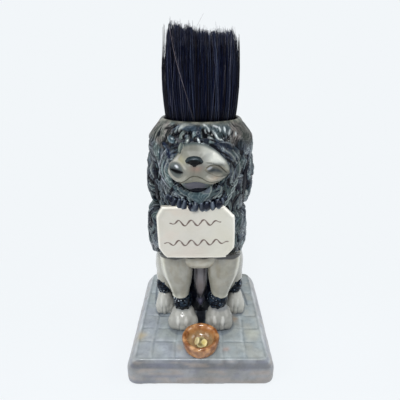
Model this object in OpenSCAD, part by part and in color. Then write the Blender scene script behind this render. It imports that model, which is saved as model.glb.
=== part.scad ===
// Desk pen holder: a glazed earthenware poodle sits on a paved plinth with a begging bowl
// in front of its forepaws and a placard on its chest. A bristle brush stands in a socket
// in its head and holds the pens. +Z is up, the dog faces -Y, and the origin is the centre
// of the plinth's underside. Left and right are as seen from in front.

/* [Plinth] */
// Width of the plinth at its foot
plinth_w = 66; // [62:1:72]
// Depth of the plinth at its foot
plinth_d = 68; // [66:1:74]
// Height of the paved top above the table
plinth_h = 12.8; // [10:0.2:18]
// Height of the bevel round the paved top
bevel_h = 4.4; // [3:0.2:5.4]
// How far the bevel draws in at the sides
bevel_in = 4; // [3:0.2:4.6]
// How far the bevel draws in at the front and back
bevel_deep = 1.8; // [1:0.2:3]
// Radius of the plinth's upright corners
corner_r = 4.6; // [4.4:0.2:7]
// Thickness of the plinth's side walls
plinth_wall = 4.6; // [4.4:0.2:7]
// Thickness of the plinth's roof under the paving
roof_t = 4; // [3:0.2:6]
// Diameter of the vent hole in the plinth's roof
vent_d = 5; // [3:0.5:8]
// Flagstones from side to side
flags_across = 6; // [4:1:8]
// Flagstones from front to back
flags_deep = 7; // [4:1:9]
// Width of the joints between flagstones
joint_w = 0.6; // [0.3:0.1:1]
// Depth of the joints between flagstones
joint_deep = 0.4; // [0.2:0.1:0.8]

/* [Torso] */
// Distance of the body's upright axis behind the plinth's centre
body_y = 6; // [5:0.5:7]
// Width of the shaved torso without its haunches
torso_w = 30; // [27:0.5:32]
// Height from the paving to the mane's edge, on the body's axis
torso_h = 33; // [30:0.5:38]
// Reach of the belly in front of the body's axis
belly_reach = 9; // [8:0.2:9.6]
// Reach of the rump behind the body's axis
rump_reach = 18; // [17:0.5:20]
// Slope of the mane's lower edge, up towards the front
seam_tilt = 23; // [18:1:26]
// Greatest thickness of a haunch on the torso's side
haunch_t = 7.4; // [5.5:0.2:8]
// How far the torso and the hind feet stand to the left of the middle
body_side = 0.6; // [0:0.1:1]

/* [Forelegs] */
// Distance between the centres of the two ankles
ankle_gap = 18.6; // [18:0.2:20]
// Distance between the centres of the two shoulders
shoulder_gap = 22.6; // [22:0.2:24]
// Distance of the forelegs' axis in front of the body's axis
foreleg_y = 15.4; // [15:0.2:16]
// Width of a foreleg at the ankle
ankle_w = 7.8; // [6:0.2:8.4]
// Width of a foreleg at the shoulder
shoulder_w = 13.6; // [11:0.2:14.2]
// Height of the forepaws
forepaw_h = 10.6; // [9:0.2:13]
// Width of a forepaw
forepaw_w = 12.8; // [11:0.2:13.4]
// Reach of a forepaw in front of its ankle's axis
forepaw_reach = 6.6; // [5.4:0.2:7]
// Height of the curly bracelets on the forelegs
fore_bracelet_h = 8; // [6:0.2:9]
// Width of the curly bracelets on the forelegs
fore_bracelet_w = 10; // [9.4:0.2:10.8]

/* [Hind feet] */
// Distance of the hind ankles in front of the body's axis
hind_y = 5; // [4.8:0.1:5.2]
// Height of the hind paws
hind_paw_h = 12; // [10:0.2:12.6]
// Width of a hind paw
hind_paw_w = 9.4; // [8.4:0.2:9.8]
// Reach of a hind paw in front of its ankle's axis
hind_paw_reach = 5.6; // [5:0.1:6]
// Height of the curly bracelets on the hind legs
hind_bracelet_h = 6.2; // [5:0.2:7]
// Width of the curly bracelets on the hind legs
hind_bracelet_w = 8.6; // [7.8:0.2:9]

/* [Tail] */
// Width of the shaved tail
tail_w = 4; // [3:0.2:5]
// Thickness of the shaved tail
tail_t = 2.6; // [2:0.1:3.4]
// Height of the tail
tail_h = 17.2; // [15:0.2:19]
// Thickness of the curly tuft at the tail's end
tuft_t = 4.6; // [3.6:0.1:5.4]
// Height of the curly tuft
tuft_h = 10; // [8:0.2:12]

/* [Mane] */
// Width of the mane
mane_w = 48; // [46:0.5:51]
// Reach of the mane in front of the body's axis
mane_front = 23.4; // [22.5:0.1:24]
// Reach of the mane behind the body's axis
mane_back = 21; // [20:0.5:23]
// Height of the mane on the body's axis
mane_h = 27; // [24:0.5:30]
// How far the mane sits to the left of the middle
mane_side = 1.6; // [0:0.2:2]
// How far the mane's front is flattened where the placard lies on it
landing_in = 1; // [0.7:0.1:1.6]

/* [Head] */
// Distance of the head's axis behind the plinth's centre
head_y = 3.7; // [3:0.1:4.4]
// Width of the head without its ears
head_w = 43; // [42:0.5:45]
// Reach of the head in front of its axis
head_front = 20.5; // [20:0.5:22]
// Reach of the head behind its axis
head_back = 21.5; // [20.5:0.5:24]
// Height from the neck to the socket's rim
head_h = 39; // [37:0.5:43]
// Thickness of an ear at its middle
ear_t = 3; // [2.5:0.1:5]
// Locks of fleece round the mane, and round the head
locks_round = 20; // [16:1:24]
// Length of one wave of a lock
lock_wave = 12; // [10:0.5:16]
// Depth of the grooves between the locks
curl_deep = 1; // [0.4:0.1:1.4]
// Turn of the face to the left
face_turn = 4; // [0:1:6]
// Projection of the muzzle from the head
muzzle_out = 6.6; // [5:0.2:8]
// Projection of the bearded chin from the head
beard_out = 6; // [5:0.2:7]
// Width of the nose
nose_w = 6.2; // [4:0.2:7]
// Thickness of the nose
nose_t = 2; // [1.2:0.1:3]
// Width of a closed eyelid
eyelid_w = 7.6; // [6:0.2:8.4]
// Thickness of a closed eyelid
eyelid_t = 1.6; // [1:0.1:2.4]

/* [Socket] */
// Radius of the socket in the head
socket_r = 15.6; // [14:0.1:16.4]
// Depth of the socket
socket_deep = 22; // [18:0.5:26]
// Thickness of the wall at the rim
rim_wall = 2.2; // [1.8:0.1:2.8]

/* [Placard] */
// Width of the placard
placard_w = 32.4; // [28:0.2:34]
// Height of the placard
placard_h = 22.2; // [21:0.2:22.6]
// Thickness of the placard
placard_t = 2.6; // [1.8:0.1:3.2]
// Size of the placard's clipped corners
placard_cut = 4.2; // [2:0.2:6]
// Distance that the placard hangs to the left of the middle
placard_side = 1.8; // [0:0.2:2.4]
// Height of the placard's lower edge above the mane's front edge
placard_lift = 1.6; // [1:0.2:2]
// Width of the placard's cord
cord_w = 2.4; // [1.6:0.1:3]
// Thickness of the placard's cord
cord_t = 1.3; // [0.9:0.1:1.8]

/* [Bowl] */
// Radius of the bowl's rim
bowl_r = 8.2; // [7.4:0.1:8.6]
// Radius of the bowl's foot
bowl_foot_r = 5.8; // [5.4:0.1:6.2]
// Height of the bowl
bowl_h = 5.8; // [5.4:0.1:8]
// Thickness of the bowl's wall
bowl_wall = 1.3; // [0.9:0.1:1.4]
// Thickness of the bowl's floor
bowl_floor = 1.2; // [0.9:0.1:1.5]
// Diameter of a coin in the bowl
coin_d = 3.6; // [2.6:0.1:3.8]
// Thickness of a coin
coin_t = 0.7; // [0.5:0.1:0.8]
// Gap between the bowl and the forepaws
bowl_gap = 0.3; // [0.2:0.1:0.8]

/* [Brush] */
// Free gap round the brush's wooden stock in the socket
stock_gap = 0.1; // [0.05:0.01:0.3]
// Wall of the stock round the bristles
stock_wall = 1; // [0.8:0.1:2]
// Thickness of the stock's floor
stock_floor = 5; // [3:0.5:7]
// Depth of the stock's top below the socket's rim
stock_down = 1.2; // [0.8:0.1:3]
// Thickness of the cement that the bristles are set in
cement_t = 6; // [4:0.5:8]
// Free length of the bristles above the rim
bristle_l = 35; // [24:0.5:38]
// Unevenness of the bristles' tips
tip_spread = 2.2; // [0:0.1:4]
// Size of a strand, as a share of its place in the tuft
strand_share = 0.62; // [0.4:0.01:0.7]
// Splay of the bristles, as a share of their root radius
splay = 0.04; // [0:0.01:0.08]
// Rings of strands in the tuft
strand_rings = 8; // [8:1:9]

/* [Hidden] */
$fn = 64;

// Glaze and material colours
c_stone = [0.60, 0.63, 0.65];
c_skin = [0.72, 0.71, 0.67];
c_fleece = [0.24, 0.29, 0.32];
c_cuff = [0.07, 0.10, 0.15];
c_cream = [0.80, 0.77, 0.69];
c_lid = [0.55, 0.55, 0.54];
c_card = [0.86, 0.83, 0.77];
c_copper = [0.70, 0.42, 0.20];
c_gold = [0.80, 0.70, 0.40];
c_wood = [0.50, 0.36, 0.22];
c_pitch = [0.16, 0.12, 0.09];
c_hair = [0.06, 0.06, 0.08];

// Clearance between luted pieces whose facets differ
lute = 0.2;
// Edge thickness that every applied piece keeps
feather = 0.6;
// Squareness of the body's rings, where 2 is an ellipse
body_n = 2.3;
paving_z = plinth_h;
neck_z = paving_z + torso_h + mane_h;
rim_z = neck_z + head_h;
seam_k = tan(seam_tilt);

function lerp(a, b, t) = a + (b - a) * t;
function clamp(v, low, high) = min(max(v, low), high);
function wave(a, n) = sign(a) * pow(abs(a), 2 / n);
function hash(i) = let (s = sin(i * 127.1 + 37.7) * 437.585) s - floor(s);
function smooth(v) = let (c = clamp(v, 0, 1)) c * c * (3 - 2 * c);
// Smooth bump, 1 at d = 0 and 0 from d = 1 outwards
function bump(d) = abs(d) >= 1 ? 0 : pow(1 - d * d, 2);
// Round dome, 1 at d = 0 and 0 from d = 1 outwards
function dome(d) = sqrt(max(0, 1 - d * d));
// Distance from p to centre c, as a share of the radii r
function share(p, c, r) = norm([(p[0] - c[0]) / r[0], (p[1] - c[1]) / r[1]]);
function span_of(rows, t, i = 0) =
    i >= len(rows) - 2 || t < rows[i + 1][0] ? i : span_of(rows, t, i + 1);
// Column c of a table whose first column is the station, half eased between its rows
function station(rows, t, c = 1) =
    let (
        i = span_of(rows, t),
        u = clamp((t - rows[i][0]) / (rows[i + 1][0] - rows[i][0]), 0, 1)
    )
    lerp(rows[i][c], rows[i + 1][c], (smooth(u) + u) / 2);

// Height of the mane's tilted lower edge at depth y
function seam_z(y) = paving_z + torso_h - seam_k * (y - body_y);

function mean(ring) =
    [for (k = [0:2]) [for (p = ring) 1] * [for (p = ring) p[k]] / len(ring)];

// Closed solid from a stack of rings that runs upwards or outwards, closed at both ends
module skin(rings, first, last) {
    m = len(rings[0]);
    n = len(rings);
    points = concat([for (ring = rings) each ring], [first, last]);
    faces = concat(
        [for (i = [0:n - 2]) for (j = [0:m - 1])
            let (a = i * m + j, b = i * m + (j + 1) % m)
            each [[a, a + m, b + m], [a, b + m, b]]],
        [for (j = [0:m - 1]) [n * m, j, (j + 1) % m]],
        [for (j = [0:m - 1]) [n * m + 1, (n - 1) * m + (j + 1) % m, (n - 1) * m + j]]
    );
    polyhedron(points, faces, convexity = 8);
}

// Solid between flat ends, whose ring at share t of its height comes from shape(t)
module loft(shape, steps) {
    rings = [for (i = [0:steps]) shape(i / steps)];
    skin(rings, mean(rings[0]), mean(rings[steps]));
}

// Piece laid on a surface: place(p, off) is the surface at p = [angle, height] pushed out
// by off, outline the piece's edge round its centre, under(p) the thickness of what it
// lies on, and rise(p) its own thickness above its edge
module applied(place, centre, outline, under, rise, outer = 5, inner = 2) {
    function low(p) = place(p, under(p) + lute);
    function high(p) = place(p, under(p) + lute + feather + rise(p));
    rings = concat(
        [for (i = [1:inner]) [for (e = outline) low(lerp(centre, e, i / inner))]],
        [for (i = [outer:-1:1]) [for (e = outline) high(lerp(centre, e, sin(90 * i / outer)))]]
    );
    skin(rings, low(centre), high(centre));
}

// Egg-shaped outline about a centre, with radii in degrees round the body and in height
function oval(centre, radii, sides) =
    [for (k = [0:sides - 1])
        let (phi = 360 * k / sides)
        centre + [radii[0] * cos(phi), radii[1] * sin(phi)]];

function round_corners(w, d, r, z) =
    [for (q = [0:3]) for (k = [0:5])
        let (a = 90 * q + 18 * k, sx = q == 0 || q == 3 ? 1 : -1, sy = q < 2 ? 1 : -1)
        [sx * (w / 2 - r) + r * cos(a), sy * (d / 2 - r) + r * sin(a), z]];

// Plinth
top_w = plinth_w - 2 * bevel_in;
top_d = plinth_d - 2 * bevel_deep;
top_r = corner_r - bevel_deep / 2;

module plinth_block() {
    edge_z = plinth_h - bevel_h;
    rings = [
        round_corners(plinth_w, plinth_d, corner_r, 0),
        round_corners(plinth_w, plinth_d, corner_r, edge_z),
        round_corners(top_w, top_d, top_r, plinth_h)
    ];
    skin(rings, mean(rings[0]), mean(rings[2]));
}

module plinth() {
    flag_w = top_w / flags_across;
    flag_d = top_d / flags_deep;
    hollow_w = plinth_w - 2 * plinth_wall;
    hollow_d = plinth_d - 2 * plinth_wall;
    color(c_stone)
        difference() {
            plinth_block();
            translate([-hollow_w / 2, -hollow_d / 2, -1])
                cube([hollow_w, hollow_d, plinth_h - roof_t + 1]);
            translate([0, body_y, -1])
                cylinder(d = vent_d, h = plinth_h + 2);
            for (i = [1:flags_across - 1])
                translate([i * flag_w - (top_w + joint_w) / 2, -plinth_d, plinth_h - joint_deep])
                    cube([joint_w, 2 * plinth_d, 1]);
            for (i = [1:flags_deep - 1])
                translate([-plinth_w, i * flag_d - (top_d + joint_w) / 2, plinth_h - joint_deep])
                    cube([2 * plinth_w, joint_w, 1]);
        }
}

// Torso, as shares of its height, width, belly's reach and rump's reach
torso_rows = [
    [0, 0.86, 0.80, 1.00],
    [0.3, 0.98, 1.00, 1.00],
    [0.6, 1.00, 1.00, 0.94],
    [1, 0.92, 0.90, 0.80],
    [1.4, 0.86, 0.80, 0.70]
];
function torso_at(p, off) =
    let (
        a = p[0],
        t = (p[1] - paving_z) / torso_h,
        half = torso_w / 2 * station(torso_rows, t, 1) + off,
        front = belly_reach * station(torso_rows, t, 2) + off,
        back = rump_reach * station(torso_rows, t, 3) + off
    )
    [
        wave(cos(a), body_n) * half,
        body_y + wave(sin(a), body_n) * (sin(a) < 0 ? front : back),
        p[1]
    ];
// Height of the torso's tilted top at angle a, closed in by a few trials
function torso_top(a, tries = 8) =
    tries == 0 ? paving_z + torso_h : seam_z(torso_at([a, torso_top(a, tries - 1)], 0)[1]);

module torso() {
    angles = [for (k = [0:31]) 360 * k / 32];
    tops = [for (a = angles) torso_top(a)];
    color(c_skin)
        translate([-body_side, 0, 0])
            loft(
                function (t)
                    [for (k = [0:31]) torso_at([angles[k], lerp(paving_z, tops[k], t)], 0)],
                8
            );
}

// Heights of the joins in the legs
fore_cuff_z = paving_z + forepaw_h;
foreleg_z = fore_cuff_z + fore_bracelet_h;
hind_cuff_z = paving_z + hind_paw_h;
hind_leg_z = hind_cuff_z + hind_bracelet_h;
hind_x = torso_w / 2 + hind_bracelet_w / 2 - lute;

// Haunch: the thigh lies on the torso's side, over the bracelet and down behind it
haunch_front = -42;
haunch_heel = 2;
haunch_back = 62;
haunch_mid = [12, lerp(hind_leg_z, paving_z + torso_h, 0.4)];
haunch_drop = 0.055 * torso_h;
haunch_corner = [26, 0.33 * torso_h];
haunch_outline = concat(
    [for (k = [0:7])
        let (a = lerp(haunch_back, haunch_front, k / 7))
        [a, torso_top(a) - haunch_drop]],
    [for (k = [1:2]) [haunch_front, lerp(torso_top(haunch_front) - haunch_drop, hind_leg_z, k / 2)]],
    [for (k = [1:4]) [lerp(haunch_front, haunch_heel, k / 4), hind_leg_z]],
    [for (k = [0:2]) [lerp(haunch_heel + 1, haunch_back - haunch_corner[0], k / 2), paving_z]],
    [for (k = [1:4])
        let (phi = 90 * k / 4)
        [haunch_back, paving_z] - [haunch_corner[0] * (1 - sin(phi)), -haunch_corner[1] * (1 - cos(phi))]],
    [lerp(
        [haunch_back, paving_z + haunch_corner[1]],
        [haunch_back, torso_top(haunch_back) - haunch_drop], 0.5
    )]
);
function haunch_rise(p) =
    let (
        across = (p[0] - haunch_mid[0])
            / (p[0] > haunch_mid[0] ? haunch_back - haunch_mid[0] : haunch_mid[0] - haunch_front),
        top = torso_top(p[0]) - haunch_drop,
        up = max(0, (p[1] - haunch_mid[1]) / (top - haunch_mid[1])),
        low = max(0, (haunch_mid[1] - p[1]) / (haunch_mid[1] - paving_z)) * smooth(across * 1.2)
    )
    (haunch_t - feather) * dome(pow(min(1, norm([across, up, low])), 1.4));

module haunch(side) {
    color(c_skin)
        translate([-body_side, 0, 0])
            mirror([side < 0 ? 1 : 0, 0, 0])
                applied(
                    function (p, off) torso_at(p, off),
                    haunch_mid, haunch_outline,
                    function (p) 0,
                    function (p) haunch_rise(p),
                    5, 3
                );
}

// Brisket: the shaved chest that shows between the forelegs
brisket_w = 0.87 * (shoulder_gap - shoulder_w);
brisket_drop = 0.27 * torso_h;
brisket_back = body_y - belly_reach - lute;
brisket_front = body_y - foreleg_y - 0.3 * shoulder_w;

module brisket() {
    mid = (brisket_back + brisket_front) / 2;
    reach = (brisket_back - brisket_front) / 2;
    color(c_skin)
        loft(
            function (t)
                let (grow = lerp(0.55, 1, sin(90 * t)))
                [for (k = [0:15])
                    let (a = 22.5 * k, y = mid + reach * grow * sin(a))
                    [brisket_w / 2 * grow * cos(a), y, seam_z(y) - brisket_drop * (1 - t)]],
            5
        );
}

// Foreleg, from its bracelet up to the mane's tilted edge
leg_sides = 20;
module foreleg(side) {
    color(c_skin)
        mirror([side < 0 ? 1 : 0, 0, 0])
            loft(
                function (t)
                    let (
                        w = lerp(ankle_w, shoulder_w, pow(t, 0.85)) + 0.06 * shoulder_w * bump((t - 0.62) / 0.38),
                        d = lerp(ankle_w, 0.74 * shoulder_w, t),
                        x = lerp(ankle_gap, shoulder_gap, t) / 2
                    )
                    [for (k = [0:leg_sides - 1])
                        let (a = 360 * k / leg_sides, y = body_y - foreleg_y + d / 2 * sin(a))
                        [x + w / 2 * cos(a), y, lerp(foreleg_z, seam_z(y), t)]],
                7
            );
}

// Curly bracelet: a scalloped cuff whose flat ends match the leg and the paw
module bracelet(x, y, z, end_w, w, h, curls) {
    sides = 3 * curls;
    color(c_cuff)
        loft(
            function (t)
                let (swell = pow(sin(180 * t), 0.6))
                [for (k = [0:sides - 1])
                    let (
                        a = 360 * k / sides,
                        r = lerp(end_w, w * (1 - 0.05 * (k % 3 == 0 ? 2 : 0)), swell) / 2
                    )
                    [x + r * cos(a), y + r * sin(a), z + h * t]],
            6
        );
}

module fore_bracelet(side) {
    bracelet(
        side * ankle_gap / 2, body_y - foreleg_y, fore_cuff_z,
        ankle_w, fore_bracelet_w, fore_bracelet_h, 7
    );
}

hind_end_w = 0.84 * hind_bracelet_w;
module hind_bracelet(side) {
    bracelet(
        side * hind_x - body_side, body_y - hind_y, hind_cuff_z,
        hind_end_w, hind_bracelet_w, hind_bracelet_h, 6
    );
}

// Paw with toes in front, a flat sole and a flat top as wide as the ankle
module paw(x, y, w, reach, h, end_w, toes) {
    sides = 28;
    color(c_cream)
        loft(
            function (t)
                let (
                    full = t < 0.3 ? lerp(0.88, 1, sin(300 * t)) : 1,
                    draw = smooth((t - 0.3) / 0.7),
                    half = lerp(w / 2 * full, end_w / 2, draw),
                    front = lerp(reach * full, end_w / 2, pow(draw, 0.8))
                )
                [for (k = [0:sides - 1])
                    let (
                        a = 360 * k / sides,
                        back = sin(a) > 0,
                        toe = back ? 0 : -0.05 * w * (1 - draw) * pow(abs(cos(toes * (a + 90))), 4)
                    )
                    [
                        x + (half + toe) * wave(cos(a), 2.2),
                        y + ((back ? end_w / 2 : front) + toe) * wave(sin(a), 2.2),
                        paving_z + h * t
                    ]],
            7
        );
}

module forepaw(side) {
    paw(
        side * ankle_gap / 2, body_y - foreleg_y,
        forepaw_w, forepaw_reach, forepaw_h, ankle_w, 3
    );
}

module hind_paw(side) {
    paw(
        side * hind_x - body_side, body_y - hind_y,
        hind_paw_w, hind_paw_reach, hind_paw_h, hind_end_w, 3
    );
}

// Tail: it rises along the rump and ends in a tuft
tail_mid = [90, paving_z + tail_h / 2 + feather];
tail_radii = [14, tail_h / 2];
tuft_radii = [13.4, tuft_h / 2];
tuft_mid = [90, tail_mid[1] + tail_radii[1] - tuft_radii[1]];
function tail_rise(p) =
    max(
        (tuft_t - feather) * dome(share(p, tuft_mid, tuft_radii)),
        (tail_t - feather) * dome((p[0] - 90) / (57.3 * tail_w / 2 / rump_reach))
            * smooth(5 * (1 - share(p, tail_mid, tail_radii)))
    );

module tail() {
    color(c_cuff)
        translate([-body_side, 0, 0])
            applied(
                function (p, off) torso_at(p, off),
                tail_mid, oval(tail_mid, tail_radii, 22),
                function (p) 0,
                function (p) tail_rise(p),
                6, 3
            );
}

// Mane, as shares of its height, width, front reach and back reach
mane_rows = [
    [0, 0.93, 0.80, 0.95],
    [0.25, 1.00, 0.99, 1.00],
    [0.6, 1.00, 1.00, 0.98],
    [0.88, 0.97, 0.95, 0.96],
    [1, 0.87, 0.83, 0.89]
];
landing_y = body_y - mane_front + landing_in;
fleece_sides = 4 * locks_round;
// Depth of the wavy grooves between the locks, at angle a and height h above the edge of
// the fleece: each groove sways to both sides, and is deeper at some places than at others
function groove(a, h) =
    let (
        sway = 95 * sin(360 * h / lock_wave + 2 * a),
        across = 0.5 - 0.5 * cos(locks_round * a + sway),
        pinch = 0.68 + 0.32 * sin(300 * h / lock_wave + 5 * a)
    )
    curl_deep * across * pinch;

module mane() {
    color(c_fleece)
        loft(
            function (t)
                [for (k = [0:fleece_sides - 1])
                    let (
                        a = 360 * k / fleece_sides - 180,
                        show = smooth((sin(a) + 0.8) * 4) * smooth(9 * t) * smooth(9 * (1 - t)),
                        off = -groove(a, mane_h * t) * show,
                        half = mane_w / 2 * station(mane_rows, t, 1) + off,
                        front = mane_front * station(mane_rows, t, 2) + off,
                        back = mane_back * station(mane_rows, t, 3) + off,
                        raw = body_y + wave(sin(a), body_n) * (sin(a) < 0 ? front : back),
                        y = max(raw, landing_y)
                    )
                    [wave(cos(a), body_n) * half - mane_side, y, lerp(seam_z(y), neck_z, t)]],
            12
        );
}

// Head, as shares of its height, width, front reach and back reach
head_rows = [
    [0, 0.92, 0.85, 0.93],
    [0.2, 0.97, 0.96, 0.97],
    [0.45, 1.00, 1.00, 1.00],
    [0.8, 1.00, 1.00, 1.00],
    [1, 0.98, 0.98, 0.98]
];
rim_r = socket_r + rim_wall;
crown_t = 0.8;
function head_at(p, off) =
    let (
        a = p[0],
        t = (p[1] - neck_z) / head_h,
        turn_in = pow(clamp((t - crown_t) / (1 - crown_t), 0, 1), 1.5),
        half = lerp(head_w / 2 * station(head_rows, t, 1), rim_r, turn_in) + off,
        front = lerp(head_front * station(head_rows, t, 2), rim_r, turn_in) + off,
        back = lerp(head_back * station(head_rows, t, 3), rim_r, turn_in) + off
    )
    [cos(a) * half, head_y + sin(a) * (sin(a) < 0 ? front : back), p[1]];
function head_z(share_up) = neck_z + head_h * share_up;

// Ears, hanging at the head's sides
ear_mid = [2, head_z(0.365)];
ear_radii = [38, 0.345 * head_h];
function ear_rise(p) =
    (ear_t - feather) * pow(dome(share(p, ear_mid, ear_radii)), 0.8);

module ear(side) {
    color(c_fleece)
        mirror([side < 0 ? 1 : 0, 0, 0])
            applied(
                function (p, off) head_at(p, off),
                ear_mid, oval(ear_mid, ear_radii, 26),
                function (p) 0,
                function (p) ear_rise(p),
                5, 3
            );
}

// Muzzle: the shaved face with its snout
face_a = -90 - face_turn;
muzzle_mid = [face_a, head_z(0.595)];
muzzle_radii = [34, 0.21 * head_h];
snout_mid = [face_a, head_z(0.58)];
snout_radii = [23, 0.19 * head_h];
function muzzle_rise(p) =
    1.6 * dome(share(p, muzzle_mid, muzzle_radii))
        + (muzzle_out - feather - 1.6) * bump(share(p, snout_mid, snout_radii));
function muzzle_top(p) = lute + feather + muzzle_rise(p);

module muzzle() {
    color(c_cream)
        applied(
            function (p, off) head_at(p, off),
            muzzle_mid, oval(muzzle_mid, muzzle_radii, 32),
            function (p) 0,
            function (p) muzzle_rise(p),
            8, 3
        );
}

nose_mid = [face_a, head_z(0.655)];
nose_radii = [57.3 * nose_w / 2 / (head_front + muzzle_out), 0.056 * head_h];

module nose() {
    color(c_hair)
        applied(
            function (p, off) head_at(p, off),
            nose_mid, oval(nose_mid, nose_radii, 16),
            function (p) muzzle_top(p),
            function (p) (nose_t - feather) * dome(share(p, nose_mid, nose_radii)),
            4, 3
        );
}

// Eyelids, closed, one on each side of the snout
eye_spread = 20.5;
eyelid_radii = [57.3 * eyelid_w / 2 / (head_front + 2), 0.058 * head_h];

module eyelids() {
    color(c_lid)
        for (side = [-1, 1]) {
            mid = [face_a + side * eye_spread, head_z(0.6)];
            applied(
                function (p, off) head_at(p, off),
                mid, oval(mid, eyelid_radii, 18),
                function (p) muzzle_top(p),
                function (p) (eyelid_t - feather) * dome(share(p, mid, eyelid_radii)),
                3, 3
            );
        }
}

// Beard: the curly chin that hangs over the placard's top edge
placard_z = seam_z(landing_y) + placard_lift;
beard_low = placard_z + placard_h + 0.4;
beard_high = muzzle_mid[1] - muzzle_radii[1] - 0.3;
beard_mid = [face_a, (beard_low + beard_high) / 2];
beard_radii = [33, (beard_high - beard_low) / 2];

module beard() {
    color(c_fleece)
        applied(
            function (p, off) head_at(p, off),
            beard_mid, oval(beard_mid, beard_radii, 28),
            function (p) 0,
            function (p) (beard_out - feather) * pow(dome(share(p, beard_mid, beard_radii)), 0.7),
            4, 3
        );
}

// Head: the seats of the ears, the face and the beard are smooth, and so is the crown but
// for the fringe over the face
function clear_of(p, c, r) = smooth((share(p, c, r) - 1.02) / 0.35);
function fleece(p) =
    clear_of(p, muzzle_mid, [muzzle_radii[0], 1.25 * muzzle_radii[1]])
        * clear_of(p, beard_mid, [beard_radii[0], 2 * beard_radii[1]])
        * clear_of([cos(p[0]) < 0 ? 180 - abs(p[0]) : abs(p[0]), p[1]], ear_mid, ear_radii)
        * (1 - smooth((p[1] - head_z(0.72)) / (0.1 * head_h)) * smooth((abs(p[0] - face_a) - 36) / 10));

module head() {
    rings = 18;
    color(c_fleece)
        difference() {
            loft(
                function (t)
                    let (up = 1 - pow(1 - t, 1.3), ends = smooth(9 * t) * smooth(9 * (1 - t)))
                    [for (k = [0:fleece_sides - 1])
                        let (a = 360 * k / fleece_sides - 180, p = [a, head_z(up)])
                        head_at(p, -groove(a, head_h * up) * fleece(p) * ends)],
                rings
            );
            translate([0, head_y, rim_z - socket_deep])
                cylinder(r = socket_r, h = socket_deep + 1);
        }
}

// Placard, flat on the mane's landing
module placard() {
    w = placard_w / 2;
    c = placard_cut;
    color(c_card)
        translate([-placard_side, landing_y, placard_z])
            rotate([90, 0, 0])
                linear_extrude(placard_t)
                    polygon([
                        [c - w, 0], [w - c, 0], [w, c], [w, placard_h - c],
                        [w - c, placard_h], [c - w, placard_h], [-w, placard_h - c], [-w, c]
                    ]);
}

// Cord: a moulded band on each side of the neck, from the placard up to the ear
cord_from = [-64, placard_z + 0.9 * placard_h];
cord_to = [ear_mid[0] - ear_radii[0] - 2.5, ear_mid[1] + 0.4];
cord_half = [0, cord_w / 2 / cos(35)];
cord_outline = concat(
    [for (k = [0:5]) lerp(cord_from, cord_to, k / 5) - cord_half],
    [for (k = [5:-1:0]) lerp(cord_from, cord_to, k / 5) + cord_half]
);

module placard_cord() {
    color(c_cream)
        for (flip = [0, 1])
            mirror([flip, 0, 0])
                applied(
                    function (p, off) head_at(p, off),
                    (cord_from + cord_to) / 2, cord_outline,
                    function (p) 0,
                    function (p) cord_t - feather,
                    2, 2
                );
}

// Bowl and coins
bowl_y = body_y - foreleg_y - forepaw_reach - bowl_gap - bowl_r;

module bowl() {
    lip = bowl_wall / 2;
    color(c_copper)
        translate([0, bowl_y, paving_z])
            rotate_extrude()
                union() {
                    polygon([
                        [0, 0], [bowl_foot_r, 0], [bowl_r - 0.3, 0.45 * bowl_h],
                        [bowl_r, bowl_h - lip], [bowl_r - bowl_wall, bowl_h - lip],
                        [bowl_r - bowl_wall - 0.3, 0.5 * bowl_h],
                        [bowl_foot_r - lip, bowl_floor], [0, bowl_floor]
                    ]);
                    translate([bowl_r - lip, bowl_h - lip])
                        circle(lip);
                }
}

module coins() {
    coin_ring = 0.6 * coin_d;
    coin_gap = 0.04;
    color(c_gold)
        translate([0, bowl_y, paving_z + bowl_floor]) {
            for (k = [0:2])
                rotate(120 * k + 25)
                    translate([coin_ring, 0, 0])
                        cylinder(d = coin_d, h = coin_t);
            translate([0, 0.1 * coin_d, coin_t + coin_gap])
                cylinder(d = coin_d, h = coin_t);
        }
}

// Brush: a turned stock holds the bristles in cement and stands in the head's socket
stock_r = socket_r - stock_gap;
tuft_r = stock_r - stock_wall;
stock_z = rim_z - socket_deep;
cement_z = stock_z + stock_floor;
root_z = cement_z + cement_t;

module brush_stock() {
    color(c_wood)
        translate([0, head_y, stock_z])
            difference() {
                cylinder(r = stock_r, h = socket_deep - stock_down);
                translate([0, 0, stock_floor])
                    cylinder(r = tuft_r, h = socket_deep);
            }
}

module bristle_cement() {
    color(c_pitch)
        translate([0, head_y, cement_z])
            cylinder(r = tuft_r, h = cement_t);
}

// Bristles: three-sided places fill a disc, and a strand stands on each of them
slab_t = 0.8;
slab_r = tuft_r - 0.15;
tip_z = rim_z + bristle_l;
// Point k of ring r, where ring r has 6r points
function disc_point(r, k) =
    r == 0 ? [0, 0]
    : let (a = 60 * k / r, d = slab_r * r / strand_rings) [d * cos(a), d * sin(a)];
function disc_index(r, k) = r == 0 ? 0 : 1 + 3 * r * (r - 1) + k % (6 * r);

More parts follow.
